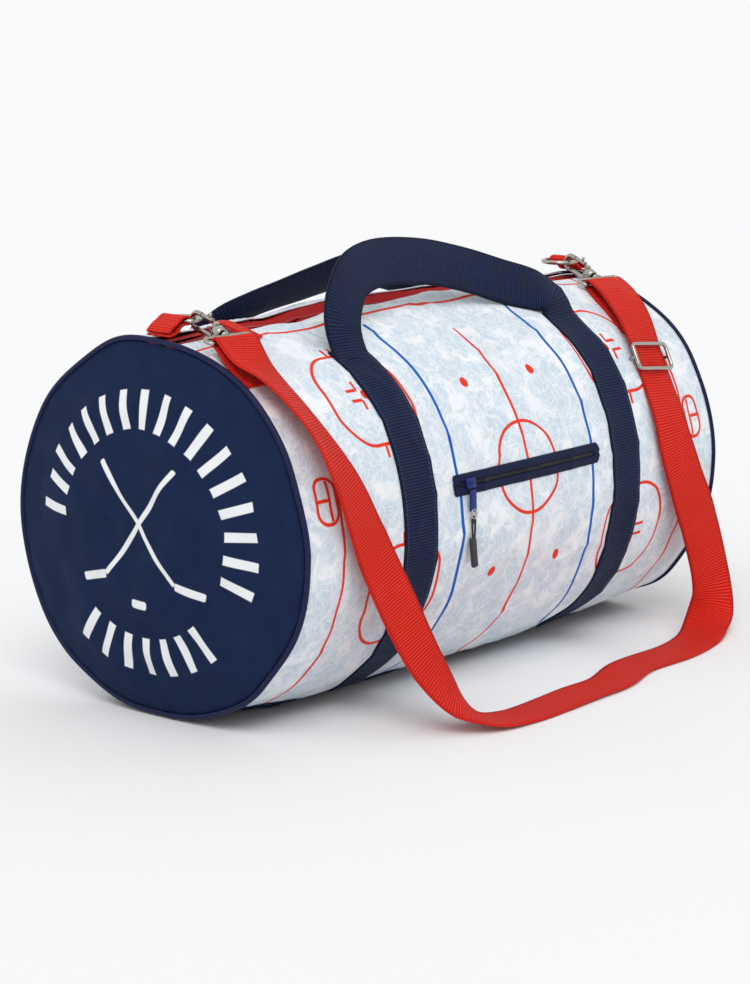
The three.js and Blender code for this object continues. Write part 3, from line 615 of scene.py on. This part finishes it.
def endPanel(side):
    # A disc of rings and spokes crowned outwards, on the barrel's own rim.
    def place(u, v):
        angle = 360 * u
        share = 1 - v
        turn = radians(angle)
        rim = barrelRadius(side * barrel["halfLength"], angle) - ends["rim"]
        crown = ends["crown"] * (1 - share ** 2.2)
        spot = Vector((share * cos(turn) * 2.1, share * sin(turn) * 2.1, 9.3 * side))
        waves = ends["sag"] * noise.noise(spot) + ends["wrinkle"] * noise.noise(spot * 2.6)
        crown += waves * (1 - share ** 6)
        pucker = exp(-(1 - share) / 0.07) * smoothStep(1 - share, 0.0, 0.02)
        crown += ends["pucker"] * sin(turn * ends["puckers"] + 3 * noise.noise(spot)) * pucker
        y = -rim * share * cos(turn)
        z = barrel["axisHeight"] + rim * share * sin(turn)
        return Vector((side * (barrel["halfLength"] + ends["offset"] + crown), y, max(z, ends["offset"])))

    work = laidGrid(180, 56, place, lambda u, v: (u, v))
    bmesh.ops.remove_doubles(work, verts=work.verts, dist=0.00002)
    bmesh.ops.delete(work, geom=[f for f in work.faces if f.calc_area() < 1e-12], context="FACES")
    end = "near" if side < 0 else "far"
    panel = meshObject(end + "EndPanel", work, outward=lambda point: Vector((side, 0, 0)))
    panel = thicken(panel, ends["thickness"])
    finishPiece(panel, "navy_fabric", "bag", [end + "_end_panel"], "emblem_fabric")


def seamPiping(side):
    end = "near" if side < 0 else "far"
    radius = ends[end + "Piping"]
    points = []
    for step in range(240):
        angle = step * 1.5
        point = barrelPoint(side * barrel["halfLength"], angle, radius * 0.5)
        point.x += side * 0.0012
        point.z = max(point.z, radius + 0.0002)
        points.append(point)
    piping = wirePiece(end + "Piping", points, radius, closed=True)
    finishPiece(piping, "navy_piping", "bag", [end + "_piping"])


for side in (-1, 1):
    endPanel(side)
    seamPiping(side)
print("ends made")


# Top zip.
mainZip = {
    "halfLength": 0.206, "sink": 0.0026, "climb": 0.0062, "slot": 0.95, "spread": 10, "tape": 0.0008,
    "teeth": 250, "tooth": (0.0010, 0.0021, 0.0016), "coilLift": 0.0004,
}


def sinking(x, angle):
    # The tape lies low in front of the coil and climbs behind it.
    climb = smoothStep(angle - 90 - zipShift(x), 0.5, 7.0) * max(0.0, 1 - (x / 0.22) ** 2)
    return -mainZip["sink"] + 0.0006 * sin(x * 60) + mainZip["climb"] * climb


tapeSides = {
    "Front": (lambda x: 90 - mainZip["spread"] + zipShift(x), lambda x: 90 - mainZip["slot"] + zipShift(x)),
    "Back": (lambda x: 90 + mainZip["slot"] + zipShift(x), lambda x: 90 + mainZip["spread"] + zipShift(x)),
}
for side, (low, high) in tapeSides.items():
    place, coordinate = onBarrel(low, high, sinking)
    work = laidGrid(200, 8, place, coordinate)
    laidPiece("mainZipTape" + side, work, mainZip["tape"], "red_zip_tape", "main_zip_tape_" + side.lower())


def addTooth(work, place, turn, size):
    made = bmesh.ops.create_cube(work, size=1.0)["verts"]
    matrix = Matrix.Translation(place) @ turn.to_4x4() @ Matrix.Diagonal((*size, 1))
    bmesh.ops.transform(work, matrix=matrix, verts=made)


def coilPiece(name, slot, node, path, count, size):
    # Two rows of small teeth that meet along the path.
    work = bmesh.new()
    for index in range(count):
        point, outward, across = path((index + 0.5) / count)
        ahead = outward.cross(across)
        turn = Matrix((ahead, across, outward)).transposed()
        for row in (-1, 1):
            addTooth(work, point + across * row * size[1] * 0.47 + ahead * row * size[0] * 0.3, turn, size)
    softenEdges(work, size[0] * 0.22, 1)
    finishPiece(meshObject(name, work), slot, "bag", [node])


def coilPath(half, angleAt, lift):
    def path(share):
        x = half * (2 * share - 1)
        turn = radians(angleAt(x))
        out, across = Vector((0, -cos(turn), sin(turn))), Vector((0, -sin(turn), -cos(turn)))
        return barrelPoint(x, angleAt(x), lift), out, across

    return path


coilLift = mainZip["coilLift"] - mainZip["sink"]
mainCoilPath = coilPath(mainZip["halfLength"], lambda x: 90 + zipShift(x), coilLift)
coilPiece("mainZipCoil", "red_coil", "main_zip_coil", mainCoilPath, mainZip["teeth"], mainZip["tooth"])
print("top zip made")


# Pocket zip over its window. The tapes part at the coil, close at both ends and round off there.
def pocketSlot(x):
    return pocket["slot"] * smoothStep(pocket["halfLength"] - 0.003 - abs(x), 0.0, 0.002) + 0.01


def pocketTapeEdge(x):
    spread = (pocket["halfHeight"] + pocket["tapeOver"]) / barrel["radius"] * 180 / pi
    fromEnd = max(0.0, pocket["halfLength"] + pocket["tapeEnd"] - abs(x))
    corner = min(1.0, fromEnd / 0.003)
    return spread * (0.62 + 0.38 * sqrt(1 - (1 - corner) ** 2))


def pocketTapeLift(x, angle):
    # Raised like a piped rim, lower along the coil and at the outer edge.
    across = abs(angle - pocket["angle"]) / pocketTapeEdge(x)
    return pocket["tapeLift"] + 0.0009 * sin(pi * min(1.0, across)) - 0.0006 * across ** 6


pocketSides = {
    "Lower": (lambda x: pocket["angle"] - pocketTapeEdge(x), lambda x: pocket["angle"] - pocketSlot(x)),
    "Upper": (lambda x: pocket["angle"] + pocketSlot(x), lambda x: pocket["angle"] + pocketTapeEdge(x)),
}
for side, (low, high) in pocketSides.items():
    place, coordinate = onBarrel(low, high, pocketTapeLift, pocket["halfLength"] + pocket["tapeEnd"])
    work = laidGrid(180, 8, place, coordinate)
    laidPiece("pocketZipTape" + side, work, pocket["tape"], "navy_zip_tape",
              "pocket_zip_tape_" + side.lower())


coilHalf = pocket["halfLength"] - pocket["coilEnd"]
pocketCoilPath = coilPath(coilHalf, lambda x: pocket["angle"], pocket["coilLift"])
coilPiece("pocketZipCoil", "black_coil", "pocket_zip_coil", pocketCoilPath, pocket["teeth"], pocket["tooth"])
print("pocket zip made")

# Webbing.
webbingSize = {
    "width": 0.038, "thickness": 0.0016, "bandTop": 61.5,
    "bandLift": 0.0012, "bandCrown": 0.0005, "band": 0.0012,
}


def bandPiece(name, centre, fromAngle, toAngle, node):
    width = webbingSize["width"]

    def place(u, v):
        angle = fromAngle + (toAngle - fromAngle) * u
        x = centre + (v - 0.5) * width
        crown = webbingSize["bandCrown"] * (1 - (2 * v - 1) ** 6)
        return barrelPoint(x, angle, webbingSize["bandLift"] + crown)

    def coordinate(u, v):
        return (radians(toAngle - fromAngle) * u * barrel["radius"], (v - 0.5) * width)

    work = laidGrid(110, 12, place, coordinate)
    laidPiece(name, work, webbingSize["band"], "navy_webbing", node, "stitched_webbing")


for end, side in (("near", -1), ("far", 1)):
    centre = side * barrel["bandCentre"]
    top = webbingSize["bandTop"]
    bandPiece("frontBand" + end.title(), centre, barrel["baseEdge"], top, f"front_{end}_band")
    bandPiece("backBand" + end.title(), centre, 180 - top, 180 - barrel["baseEdge"], f"back_{end}_band")


def curveThrough(values, position):
    # Catmull-Rom through a list of vectors, position counted in stations.
    index = min(int(position), len(values) - 2)
    share = position - index
    before = values[max(index - 1, 0)]
    first, second = values[index], values[index + 1]
    after = values[min(index + 2, len(values) - 1)]
    return 0.5 * (2 * first + (second - before) * share
                  + (2 * before - 5 * first + 4 * second - after) * share ** 2
                  + (3 * first - before - 3 * second + after) * share ** 3)


def ribbonPiece(name, stations, slot, body, node, step=0.0045, cup=0.0, ripple=0.0, width=None):
    # Flat webbing along a route, its width turning as the stations say.
    wide = width or webbingSize["width"]
    middles = [Vector(station[:3]) for station in stations]
    widths = [Vector(station[3:]).normalized() for station in stations]
    fine = [i / 40 for i in range(40 * (len(stations) - 1) + 1)]
    path = [curveThrough(middles, position) for position in fine]
    travelled = [0.0]
    for before, after in zip(path, path[1:]):
        travelled.append(travelled[-1] + (after - before).length)
    total = travelled[-1]
    count = round(total / step)
    places = []
    index = 0
    for number in range(count + 1):
        goal = total * number / count
        while index < len(travelled) - 2 and travelled[index + 1] < goal:
            index += 1
        span = travelled[index + 1] - travelled[index]
        places.append(fine[index] + (goal - travelled[index]) / span / 40 if span > 0 else fine[index])

    def place(u, v):
        position = min(places[round(u * count)], len(stations) - 1 - 1e-6)
        middle = curveThrough(middles, position)
        ahead = (curveThrough(middles, min(position + 0.02, len(stations) - 1))
                 - curveThrough(middles, max(position - 0.02, 0))).normalized()
        across = curveThrough(widths, position)
        across = (across - ahead * across.dot(ahead)).normalized()
        outward = ahead.cross(across)
        t = 2 * v - 1
        bend = cup * (1 - t * t)
        bend += ripple * noise.noise(Vector((u * total * 16, t * 0.7, 4.2)))
        point = middle + across * t * wide / 2 + outward * bend
        point.z = max(point.z, webbingSize["thickness"] / 2 + 0.0002)
        return point

    work = laidGrid(count, 10, place, lambda u, v: (u * total, (v - 0.5) * wide))
    ribbon = thicken(meshObject(name, work), webbingSize["thickness"], 0.0)
    finishPiece(ribbon, slot, body, [node])


def inMetres(stations):
    return [(x / 1000, y / 1000, z / 1000, *width) for x, y, z, *width in stations]


frontHandleRoute = inMetres([
    [-133, -80.5, 263, -1, 0, 0], [-133, -74, 273, -1, 0, 0], [-131, -67, 291, -1, 0.1, 0.2],
    [-119, -60, 310, -0.9, 0.2, 0.6], [-97, -52, 324, -0.45, 0.3, 1], [-55, -43, 328, -0.1, 0.35, 1],
    [0, -40, 323, 0, 0.35, 1], [50, -42, 312, 0.05, 0.35, 1], [90, -51, 299, 0.1, 0.35, 1],
    [117, -61, 291, 0.5, 0.35, 0.8], [131, -69, 284, 0.95, 0.1, 0.1], [133, -74, 273, 1, 0, 0],
    [133, -80.5, 263, 1, 0, 0],
])
backHandleRoute = inMetres([
    [-133, 80.5, 263, -1, 0, 0], [-133, 74, 273, -1, 0, 0], [-129, 60, 281, -0.9, -0.1, 0.3],
    [-112, 50, 290, -0.5, -0.5, 0.6], [-85, 45, 297, -0.1, -0.7, 0.8], [-50, 40, 304, 0, -0.6, 0.8],
    [-5, 36, 311, 0, -0.6, 0.9], [40, 38, 308, 0, -0.6, 0.8], [85, 46, 298, 0.1, -0.6, 0.8],
    [114, 58, 290, 0.5, -0.3, 0.6], [131, 69, 283, 0.95, -0.1, 0.1], [133, 74, 273, 1, 0, 0],
    [133, 80.5, 263, 1, 0, 0],
])
ribbonPiece("frontHandle", frontHandleRoute, "navy_webbing", "front_grip", "front_handle", cup=0.0012)
ribbonPiece("backHandle", backHandleRoute, "navy_webbing", "back_grip", "back_handle", cup=0.0012)
print("handles made")


# Snap hooks, their swivel eyes and the rings they hold. In a hook's own frame +Y runs
# from the strap eye to the ring and +Z points away from the bag.
hook = {
    "centre": 0.020, "bow": 0.006, "wire": 0.002, "gateFoot": 0.0025, "gateClearance": 0.001,
    "eyeDrop": 0.022, "eyeHalfHeight": 0.0045, "eyeHalfWidth": 0.0221, "eyeWire": 0.0016, "eyeCorner": 0.0028,
    "yokeWire": 0.0026, "gateWire": 0.0018, "tipBack": 0.004, "gateBack": 0.0045, "knobAt": 0.004,
}


def hookFrame(end):
    swivel = joints[end + "_hook_swivel"]
    along = Vector(swivel["axis"]).normalized()
    right = -Vector(joints[end + "_gate_press"]["axis"]).normalized()
    out = right.cross(along)
    turn = Matrix((right, along, out)).transposed().to_4x4()
    return Matrix.Translation(Vector(swivel["pos_m"])) @ turn


def spunPiece(profile, matrix, steps=24):
    # A profile of (radius, along) turned about its own Y axis.
    work = bmesh.new()
    corners = [work.verts.new((radius, along, 0)) for radius, along in profile]
    edges = [work.edges.new(pair) for pair in zip(corners, corners[1:])]
    bmesh.ops.spin(work, geom=corners + edges, cent=(0, 0, 0), axis=(0, 1, 0), angle=2 * pi,
                   steps=steps, use_merge=True)
    bmesh.ops.remove_doubles(work, verts=work.verts, dist=0.00001)
    bmesh.ops.transform(work, matrix=matrix, verts=work.verts)
    return work


def roundedLoop(halfWidth, halfHeight, corner, steps=6):
    points = []
    for quarter, (sx, sy) in enumerate(((1, 1), (-1, 1), (-1, -1), (1, -1))):
        for step in range(steps + 1):
            angle = (quarter + step / steps) * pi / 2
            points.append(Vector((sx * (halfWidth - corner) + corner * cos(angle),
                                  sy * (halfHeight - corner) + corner * sin(angle), 0)))
    return points


def snapHook(end):
    matrix = hookFrame(end)
    body = end + "_hook"
    centre, bow = hook["centre"], hook["bow"]
    line = [(0, 0.0, -bow), (0, centre * 0.5, -bow)]
    line += [(0, centre + bow * sin(radians(a)), -bow * cos(radians(a))) for a in range(0, 181, 12)]
    line.append((0, centre - hook["tipBack"], bow))
    bowPiece = wirePiece(end + "HookBow", [matrix @ Vector(p) for p in line], hook["wire"])
    finishPiece(bowPiece, "nickel", body, [end + "_hook_body"])
    profile = [(0.0031, -0.0085), (0.0045, -0.0085), (0.0049, -0.006), (0.0052, -0.003), (0.0048, -0.0015),
               (0.0032, 0.0), (0.0030, 0.002), (0.0001, 0.0024)]
    finishPiece(meshObject(end + "HookCollar", spunPiece(profile, matrix)), "nickel", body)
    yoke = wirePiece(end + "HookYoke", [matrix @ Vector((0, 0, z)) for z in (-bow, 0, bow)], hook["yokeWire"])
    finishPiece(yoke, "nickel", body)
    foot = hook["gateFoot"] + hook["gateClearance"]
    gateLine = [matrix @ Vector((0, y, bow)) for y in (foot, (foot + centre) / 2, centre - hook["gateBack"])]
    gate = wirePiece(end + "HookGate", gateLine, hook["gateWire"])
    finishPiece(gate, "nickel", end + "_gate", [end + "_hook_gate"])
    knobMatrix = matrix @ Matrix.Translation((0, foot + hook["knobAt"], bow))
    knobMatrix = knobMatrix @ Matrix.Rotation(pi / 2, 4, "X")
    knobProfile = [(0.0001, 0.0052), (0.0012, 0.0046), (0.0013, 0.0030), (0.0011, 0.0), (0.0001, 0.0)]
    knob = spunPiece(knobProfile, knobMatrix, 16)
    finishPiece(meshObject(end + "GateKnob", knob), "nickel", end + "_gate")
    drop, high = hook["eyeDrop"], hook["eyeHalfHeight"]
    outline = roundedLoop(hook["eyeHalfWidth"], high, hook["eyeCorner"])
    loop = [matrix @ (p + Vector((0, high - drop, 0))) for p in outline]
    finishPiece(wirePiece(end + "SwivelEye", loop, hook["eyeWire"], closed=True), "nickel", "strap",
                [end + "_swivel_eye"])
    neck = [(0.0001, -0.0050), (0.0027, -0.0052), (0.0027, -0.0105), (0.0038, -0.0112), (0.0036, -0.0128),
            (0.0001, -0.0132)]
    finishPiece(meshObject(end + "SwivelNeck", spunPiece(neck, matrix)), "nickel", "strap")


ring = {"barX": 0.241, "height": 0.299, "halfWidth": 0.014, "legs": 0.005, "wire": 0.0018}


def dRing(end, side):
    centre = Vector((side * ring["barX"], 0, ring["height"]))
    points = [Vector((0, -ring["halfWidth"], 0)), Vector((ring["legs"] / 2, -ring["halfWidth"], 0))]
    for step in range(25):
        angle = radians(-90 + step * 7.5)
        x, y = ring["halfWidth"] * cos(angle), ring["halfWidth"] * sin(angle)
        points.append(Vector((ring["legs"] + x, y, 0)))
    points.append(Vector((0, ring["halfWidth"], 0)))
    placed = [centre + Vector((-side * p.x, p.y, 0)) for p in points]
    finishPiece(wirePiece(end + "Ring", placed, ring["wire"], closed=True), "nickel", end + "_ring",
                [end + "_d_ring"])


tab = {"width": 0.023, "turn": 3.1, "foot": -12.5}


def ringTab(end, side):
    # Webbing folded round the ring's bar and sewn down at the end seam, in millimetres.
    centre = Vector((side * ring["barX"], 0, ring["height"]))
    turn, foot = tab["turn"], tab["foot"]
    edge = side * (barrel["halfLength"] - ring["barX"] - 0.001) * 1000
    offsets = [(edge, foot + 3.0), (side * 12, foot + 4.6), (side * 5, -turn + 0.3)]
    offsets += [(-side * turn * cos(radians(a)), turn * sin(radians(a))) for a in (-50, 0, 50)]
    offsets += [(side * 3, turn + 0.2), (side * 9, 0.2), (side * 15, -3.0), (edge + side * 0.5, foot + 5.2)]
    stations = [(centre.x + x / 1000, 0, centre.z + z / 1000, 0, 1, 0) for x, z in offsets]
    ribbonPiece(end + "Tab", stations, "red_webbing", "bag", end + "_tab", step=0.0012, width=tab["width"])


for end, side in (("near", -1), ("far", 1)):
    snapHook(end)
    dRing(end, side)
    ringTab(end, side)
print("hooks, rings and tabs made")


# Shoulder strap.
def turnRoundBar(end, sign):
    matrix = hookFrame(end)
    radius = hook["eyeWire"] + 0.0017
    width = matrix.to_3x3() @ Vector((sign, 0, 0))
    stations = []
    for angle in (-110, -60, 0, 60, 110):
        local = Vector((0, radius * cos(radians(angle)) - hook["eyeDrop"], radius * sin(radians(angle))))
        stations.append((*(matrix @ local), *width))
    return stations


strapRoute = inMetres([
    [206, -103, 247, 1, 0, 0], [212, -86, 261, 1, -0.1, 0], [218, -71, 271.5, 1, -0.2, 0]])
strapRoute += turnRoundBar("far", 1)
strapRoute += inMetres([
    [218, -75, 279.5, 1, -0.15, 0], [208, -96, 265, 1, -0.1, 0], [199.5, -113, 246, 1, 0, 0],
    [197, -121.2, 231, 1, 0, 0], [195, -129.5, 216, 1, 0, 0], [192, -146, 186, 1, -0.1, -0.1],
    [194, -153, 160, 1, -0.2, -0.2], [204, -157, 128, 1, -0.2, -0.3], [222, -158, 92, 1, -0.25, -0.3],
    [236, -160, 52, 1, -0.35, -0.1], [236, -164, 23, 0.9, -0.6, 0], [218, -170, 7, 0.5, -0.9, 0],
    [188, -181, 1.6, 0.1, -1, 0], [140, -190, 1.6, 0, -1, 0],
    [82, -190, 1.6, 0, -1, 0], [31, -204, 1.6, 0, -1, 0], [-11, -206, 1.6, 0, -1, 0],
    [-56, -208, 1.6, 0, -1, 0], [-94, -208, 1.8, -0.1, -1, 0], [-126, -204, 6, -0.5, -0.85, 0],
    [-147, -191, 20, -0.9, -0.35, 0], [-164, -177, 50, -1, -0.05, -0.12], [-180, -165, 90, -1, 0.05, -0.18],
    [-195, -157, 127, -1, 0.02, -0.18], [-207, -155, 153, -1, -0.08, -0.06],
    [-218, -151, 181, -1, -0.2, 0.04], [-226, -144, 204, -1, -0.28, 0.15],
    [-232, -132, 226, -1, -0.32, 0.28], [-238, -116, 246, -1, -0.24, 0.32],
    [-242, -96, 264, -1, -0.15, 0.28], [-243, -76, 276, -1, 0, 0.1]])
strapRoute += turnRoundBar("near", -1)[::-1]
strapRoute += inMetres([[-241, -73, 269.5, -1, 0.1, 0], [-241, -88, 259.5, -1, 0, 0]])
ribbonPiece("shoulderStrap", strapRoute, "red_webbing", "strap", "shoulder_strap", step=0.003, ripple=0.0012)
print("strap made")

# The slide over the strap: a round-cornered wire frame with its bar under the webbing.
slide = {
    "halfWidth": 0.0221, "halfHeight": 0.011, "corner": 0.004, "lift": 0.0042,
    "wire": 0.0017, "barWire": 0.0014, "seat": (-0.1212, 0.231),
}
low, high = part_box("slide_adjuster")
up = Vector(joints["slide_shift"]["axis"]).normalized()
out = Vector((1, 0, 0)).cross(up).normalized()
slideSeat = Vector(((low[0] + high[0]) / 2, *slide["seat"]))
slideFrame = Matrix.Translation(slideSeat) @ Matrix((up.cross(out), up, out)).transposed().to_4x4()
outline = roundedLoop(slide["halfWidth"], slide["halfHeight"], slide["corner"])
loop = [slideFrame @ (p + Vector((0, 0, slide["lift"]))) for p in outline]
slidePiece = wirePiece("slideFrame", loop, slide["wire"], closed=True)
finishPiece(slidePiece, "nickel", "slide", ["slide_adjuster"])
bar = [slideFrame @ Vector((x, 0, z)) for x, z in (
    (-slide["halfWidth"], slide["lift"]), (-slide["halfWidth"], -slide["lift"]),
    (slide["halfWidth"], -slide["lift"]), (slide["halfWidth"], slide["lift"]))]
finishPiece(wirePiece("slideBar", bar, slide["barWire"]), "nickel", "slide")
print("slide made")


def platePiece(name, slot, body, nodes, matrix, size, bevel):
    work = bmesh.new()
    bmesh.ops.create_cube(work, size=1.0, matrix=matrix @ Matrix.Diagonal((*size, 1)))
    softenEdges(work, bevel)
    finishPiece(meshObject(name, work), slot, body, nodes)


def sliderPiece(name, slot, body, node, matrix, size):
    # A rounded body and a bail for the pull.
    length, width, height = size
    centre = matrix @ Matrix.Translation((0, 0, height / 2))
    platePiece(name, slot, body, [node], centre, size, height * 0.28)
    turns = [radians(step * 15) for step in range(13)]
    bail = [(length * 0.28 * cos(turn), 0, height * 0.9 + height * 0.75 * sin(turn)) for turn in turns]
    bailLine = [matrix @ Vector(point) for point in bail]
    finishPiece(wirePiece(name + "Bail", bailLine, height * 0.17), slot, body)


def pullFrame(origin, angle):
    # +Y points up along the pull, +Z away from the bag, and the origin is where it hangs.
    turn = radians(angle)
    out = Vector((0, -cos(turn), sin(turn)))
    up = Vector((0, sin(turn), cos(turn)))
    return Matrix.Translation(origin) @ Matrix((up.cross(out), up, out)).transposed().to_4x4()


# The pocket's pull: slider, tab, small ring, cord loop with its knot, and grip.
pocketPull = {
    "slider": (0.011, 0.0078, 0.0034), "seatLift": 0.0010, "reach": -0.0032, "lean": 1.0,
    "tab": (0.0075, 0.017, 0.0016), "tabAt": -0.0104, "tabBevel": 0.0007,
    "ring": (0.0031, 0.0034), "ringAt": -0.0205, "ringLift": 0.0006, "ringWire": 0.0007,
    "cordLift": 0.0004, "cordWire": 0.0008, "knotAt": -0.0262,
    "grip": (0.0062, 0.0235, 0.0038), "gripAt": -0.0505, "gripLift": 0.0002, "gripTurn": 6,
    "gripBevel": 0.0016,
}
pocketSeat = barrelPoint(pocket["sliderX"], pocket["angle"], pocketPull["seatLift"])
sliderMatrix = pullFrame(pocketSeat, pocket["angle"])
sliderPiece("pocketSlider", "blue_paint", "pocket_runner", "pocket_slider", sliderMatrix,
            pocketPull["slider"])
hangPoint = Vector(joints["pocket_pull_swing"]["pos_m"]) + Vector((0, pocketPull["reach"], 0))
hang = pullFrame(hangPoint, pocketPull["lean"])
tabMatrix = hang @ Matrix.Translation((0, pocketPull["tabAt"], 0))
platePiece("pocketPullTab", "blue_paint", "pocket_hanger", ["pocket_pull_tab"], tabMatrix,
           pocketPull["tab"], pocketPull["tabBevel"])
ringPoints = []
for step in range(24):
    turn = radians(step * 15)
    x, y = pocketPull["ring"][0] * sin(turn), pocketPull["ring"][1] * cos(turn)
    ringPoints.append(hang @ Vector((x, pocketPull["ringAt"] + y, pocketPull["ringLift"])))
pullRing = wirePiece("pocketPullRing", ringPoints, pocketPull["ringWire"], closed=True)
finishPiece(pullRing, "nickel", "pocket_hanger", ["pocket_pull_ring"])
cordLine = [(0.0, -0.0222), (0.0016, -0.0245), (0.0019, -0.030), (0.0012, -0.0375), (0.0004, -0.040),
            (-0.0004, -0.040), (-0.0013, -0.0375), (-0.0019, -0.030), (-0.0016, -0.0245)]
cordPoints = [hang @ Vector((x, y, pocketPull["cordLift"])) for x, y in cordLine]
pullCord = wirePiece("pocketPullCord", cordPoints, pocketPull["cordWire"], closed=True)
finishPiece(pullCord, "black_cord", "pocket_hanger", ["pocket_pull_cord"])
knotPlace = Matrix.Translation((0, pocketPull["knotAt"], pocketPull["cordLift"]))
knotProfile = [(0.0001, -0.0018), (0.0017, -0.0015), (0.0022, 0.0), (0.0017, 0.0015), (0.0001, 0.0018)]
knot = spunPiece(knotProfile, hang @ knotPlace @ Matrix.Rotation(pi / 2, 4, "Z"), 16)
finishPiece(meshObject("pocketPullKnot", knot), "black_cord", "pocket_hanger")
gripPlace = Matrix.Translation((0, pocketPull["gripAt"], pocketPull["gripLift"]))
gripMatrix = hang @ gripPlace @ Matrix.Rotation(radians(pocketPull["gripTurn"]), 4, "Z")
platePiece("pocketPullGrip", "charcoal_rubber", "pocket_hanger", ["pocket_pull_grip"], gripMatrix,
           pocketPull["grip"], pocketPull["gripBevel"])

# The top zip's slider and its webbing pull, which lies down to the front.
mainPull = {"x": -0.198, "slider": (0.013, 0.009, 0.0042), "width": 0.012}
mainSeat = Vector((mainPull["x"], 0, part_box("main_slider")[0][2]))
mainMatrix = Matrix.Translation(mainSeat)
sliderPiece("mainSlider", "red_paint", "zip_slider", "main_slider", mainMatrix, mainPull["slider"])
pullStations = [(mainPull["x"], y, mainSeat.z + z, 1, 0, 0) for y, z in (
    (0.0015, 0.0068), (-0.008, 0.0074), (-0.018, 0.0052), (-0.029, 0.0024), (-0.041, -0.0012))]
ribbonPiece("mainPull", pullStations, "red_webbing", "zip_pull", "main_pull", step=0.002,
            width=mainPull["width"])
print("sliders and pulls made")

# Small pieces that keep their CAD shape, each with its own finish; the zip stops also get rounded edges.
stops = ["main_zip_near_stop", "main_zip_far_stop", "pocket_zip_near_stop", "pocket_zip_far_stop"]
stopBevel = {"width": 0.0004, "segments": 2}
for node in ["pocket_pouch"] + stops:
    obj = frame["nodes"][node]
    obj.data.materials.clear()
    obj.data.materials.append(materials["nickel" if node in stops else "pocket_lining"])
    if node in stops:
        bevel = obj.modifiers.new("edges", "BEVEL")
        bevel.width, bevel.segments = stopBevel["width"], stopBevel["segments"]
print("kept pieces finished")

# Floor and light: one soft sun high on the left, and an even sky.
stage = {
    "ground": "ecedee", "grain": "eeeeef", "half": 60.0, "sky": "f6f6f6", "skyStrength": 0.96,
    "sun": 0.98, "spread": 34.0, "sunHeading": (1.5, 1.3, -2.4),
}
work = bmesh.new()
bmesh.ops.create_grid(work, x_segments=2, y_segments=2, size=stage["half"])
floor = meshObject("floor", work, smooth=False)
paper, tree, shader = newMaterial("palePaper", {"Roughness": 1.0, "Specular IOR Level": 0.0})
grain = addNode(tree, "TexNoise", {}, {"Vector": objectPoint(tree), "Scale": 3.0})
colour = blendColours(tree, grain, toLinear(stage["ground"]), toLinear(stage["grain"]))
tree.links.new(colour, shader.inputs["Base Color"])
floor.data.materials.append(paper)
bpy.context.scene.collection.objects.link(floor)

world = bpy.data.worlds.new("studio")
bpy.context.scene.world = world
world.use_nodes = True
world.node_tree.nodes["Background"].inputs[0].default_value = toLinear(stage["sky"])
world.node_tree.nodes["Background"].inputs[1].default_value = stage["skyStrength"]

sun = bpy.data.lights.new("sun", "SUN")
sun.energy = stage["sun"]
sun.angle = radians(stage["spread"])
sunObject = bpy.data.objects.new("sun", sun)
sunObject.rotation_euler = Vector(stage["sunHeading"]).to_track_quat("-Z", "Y").to_euler()
bpy.context.scene.collection.objects.link(sunObject)
print("stage made")
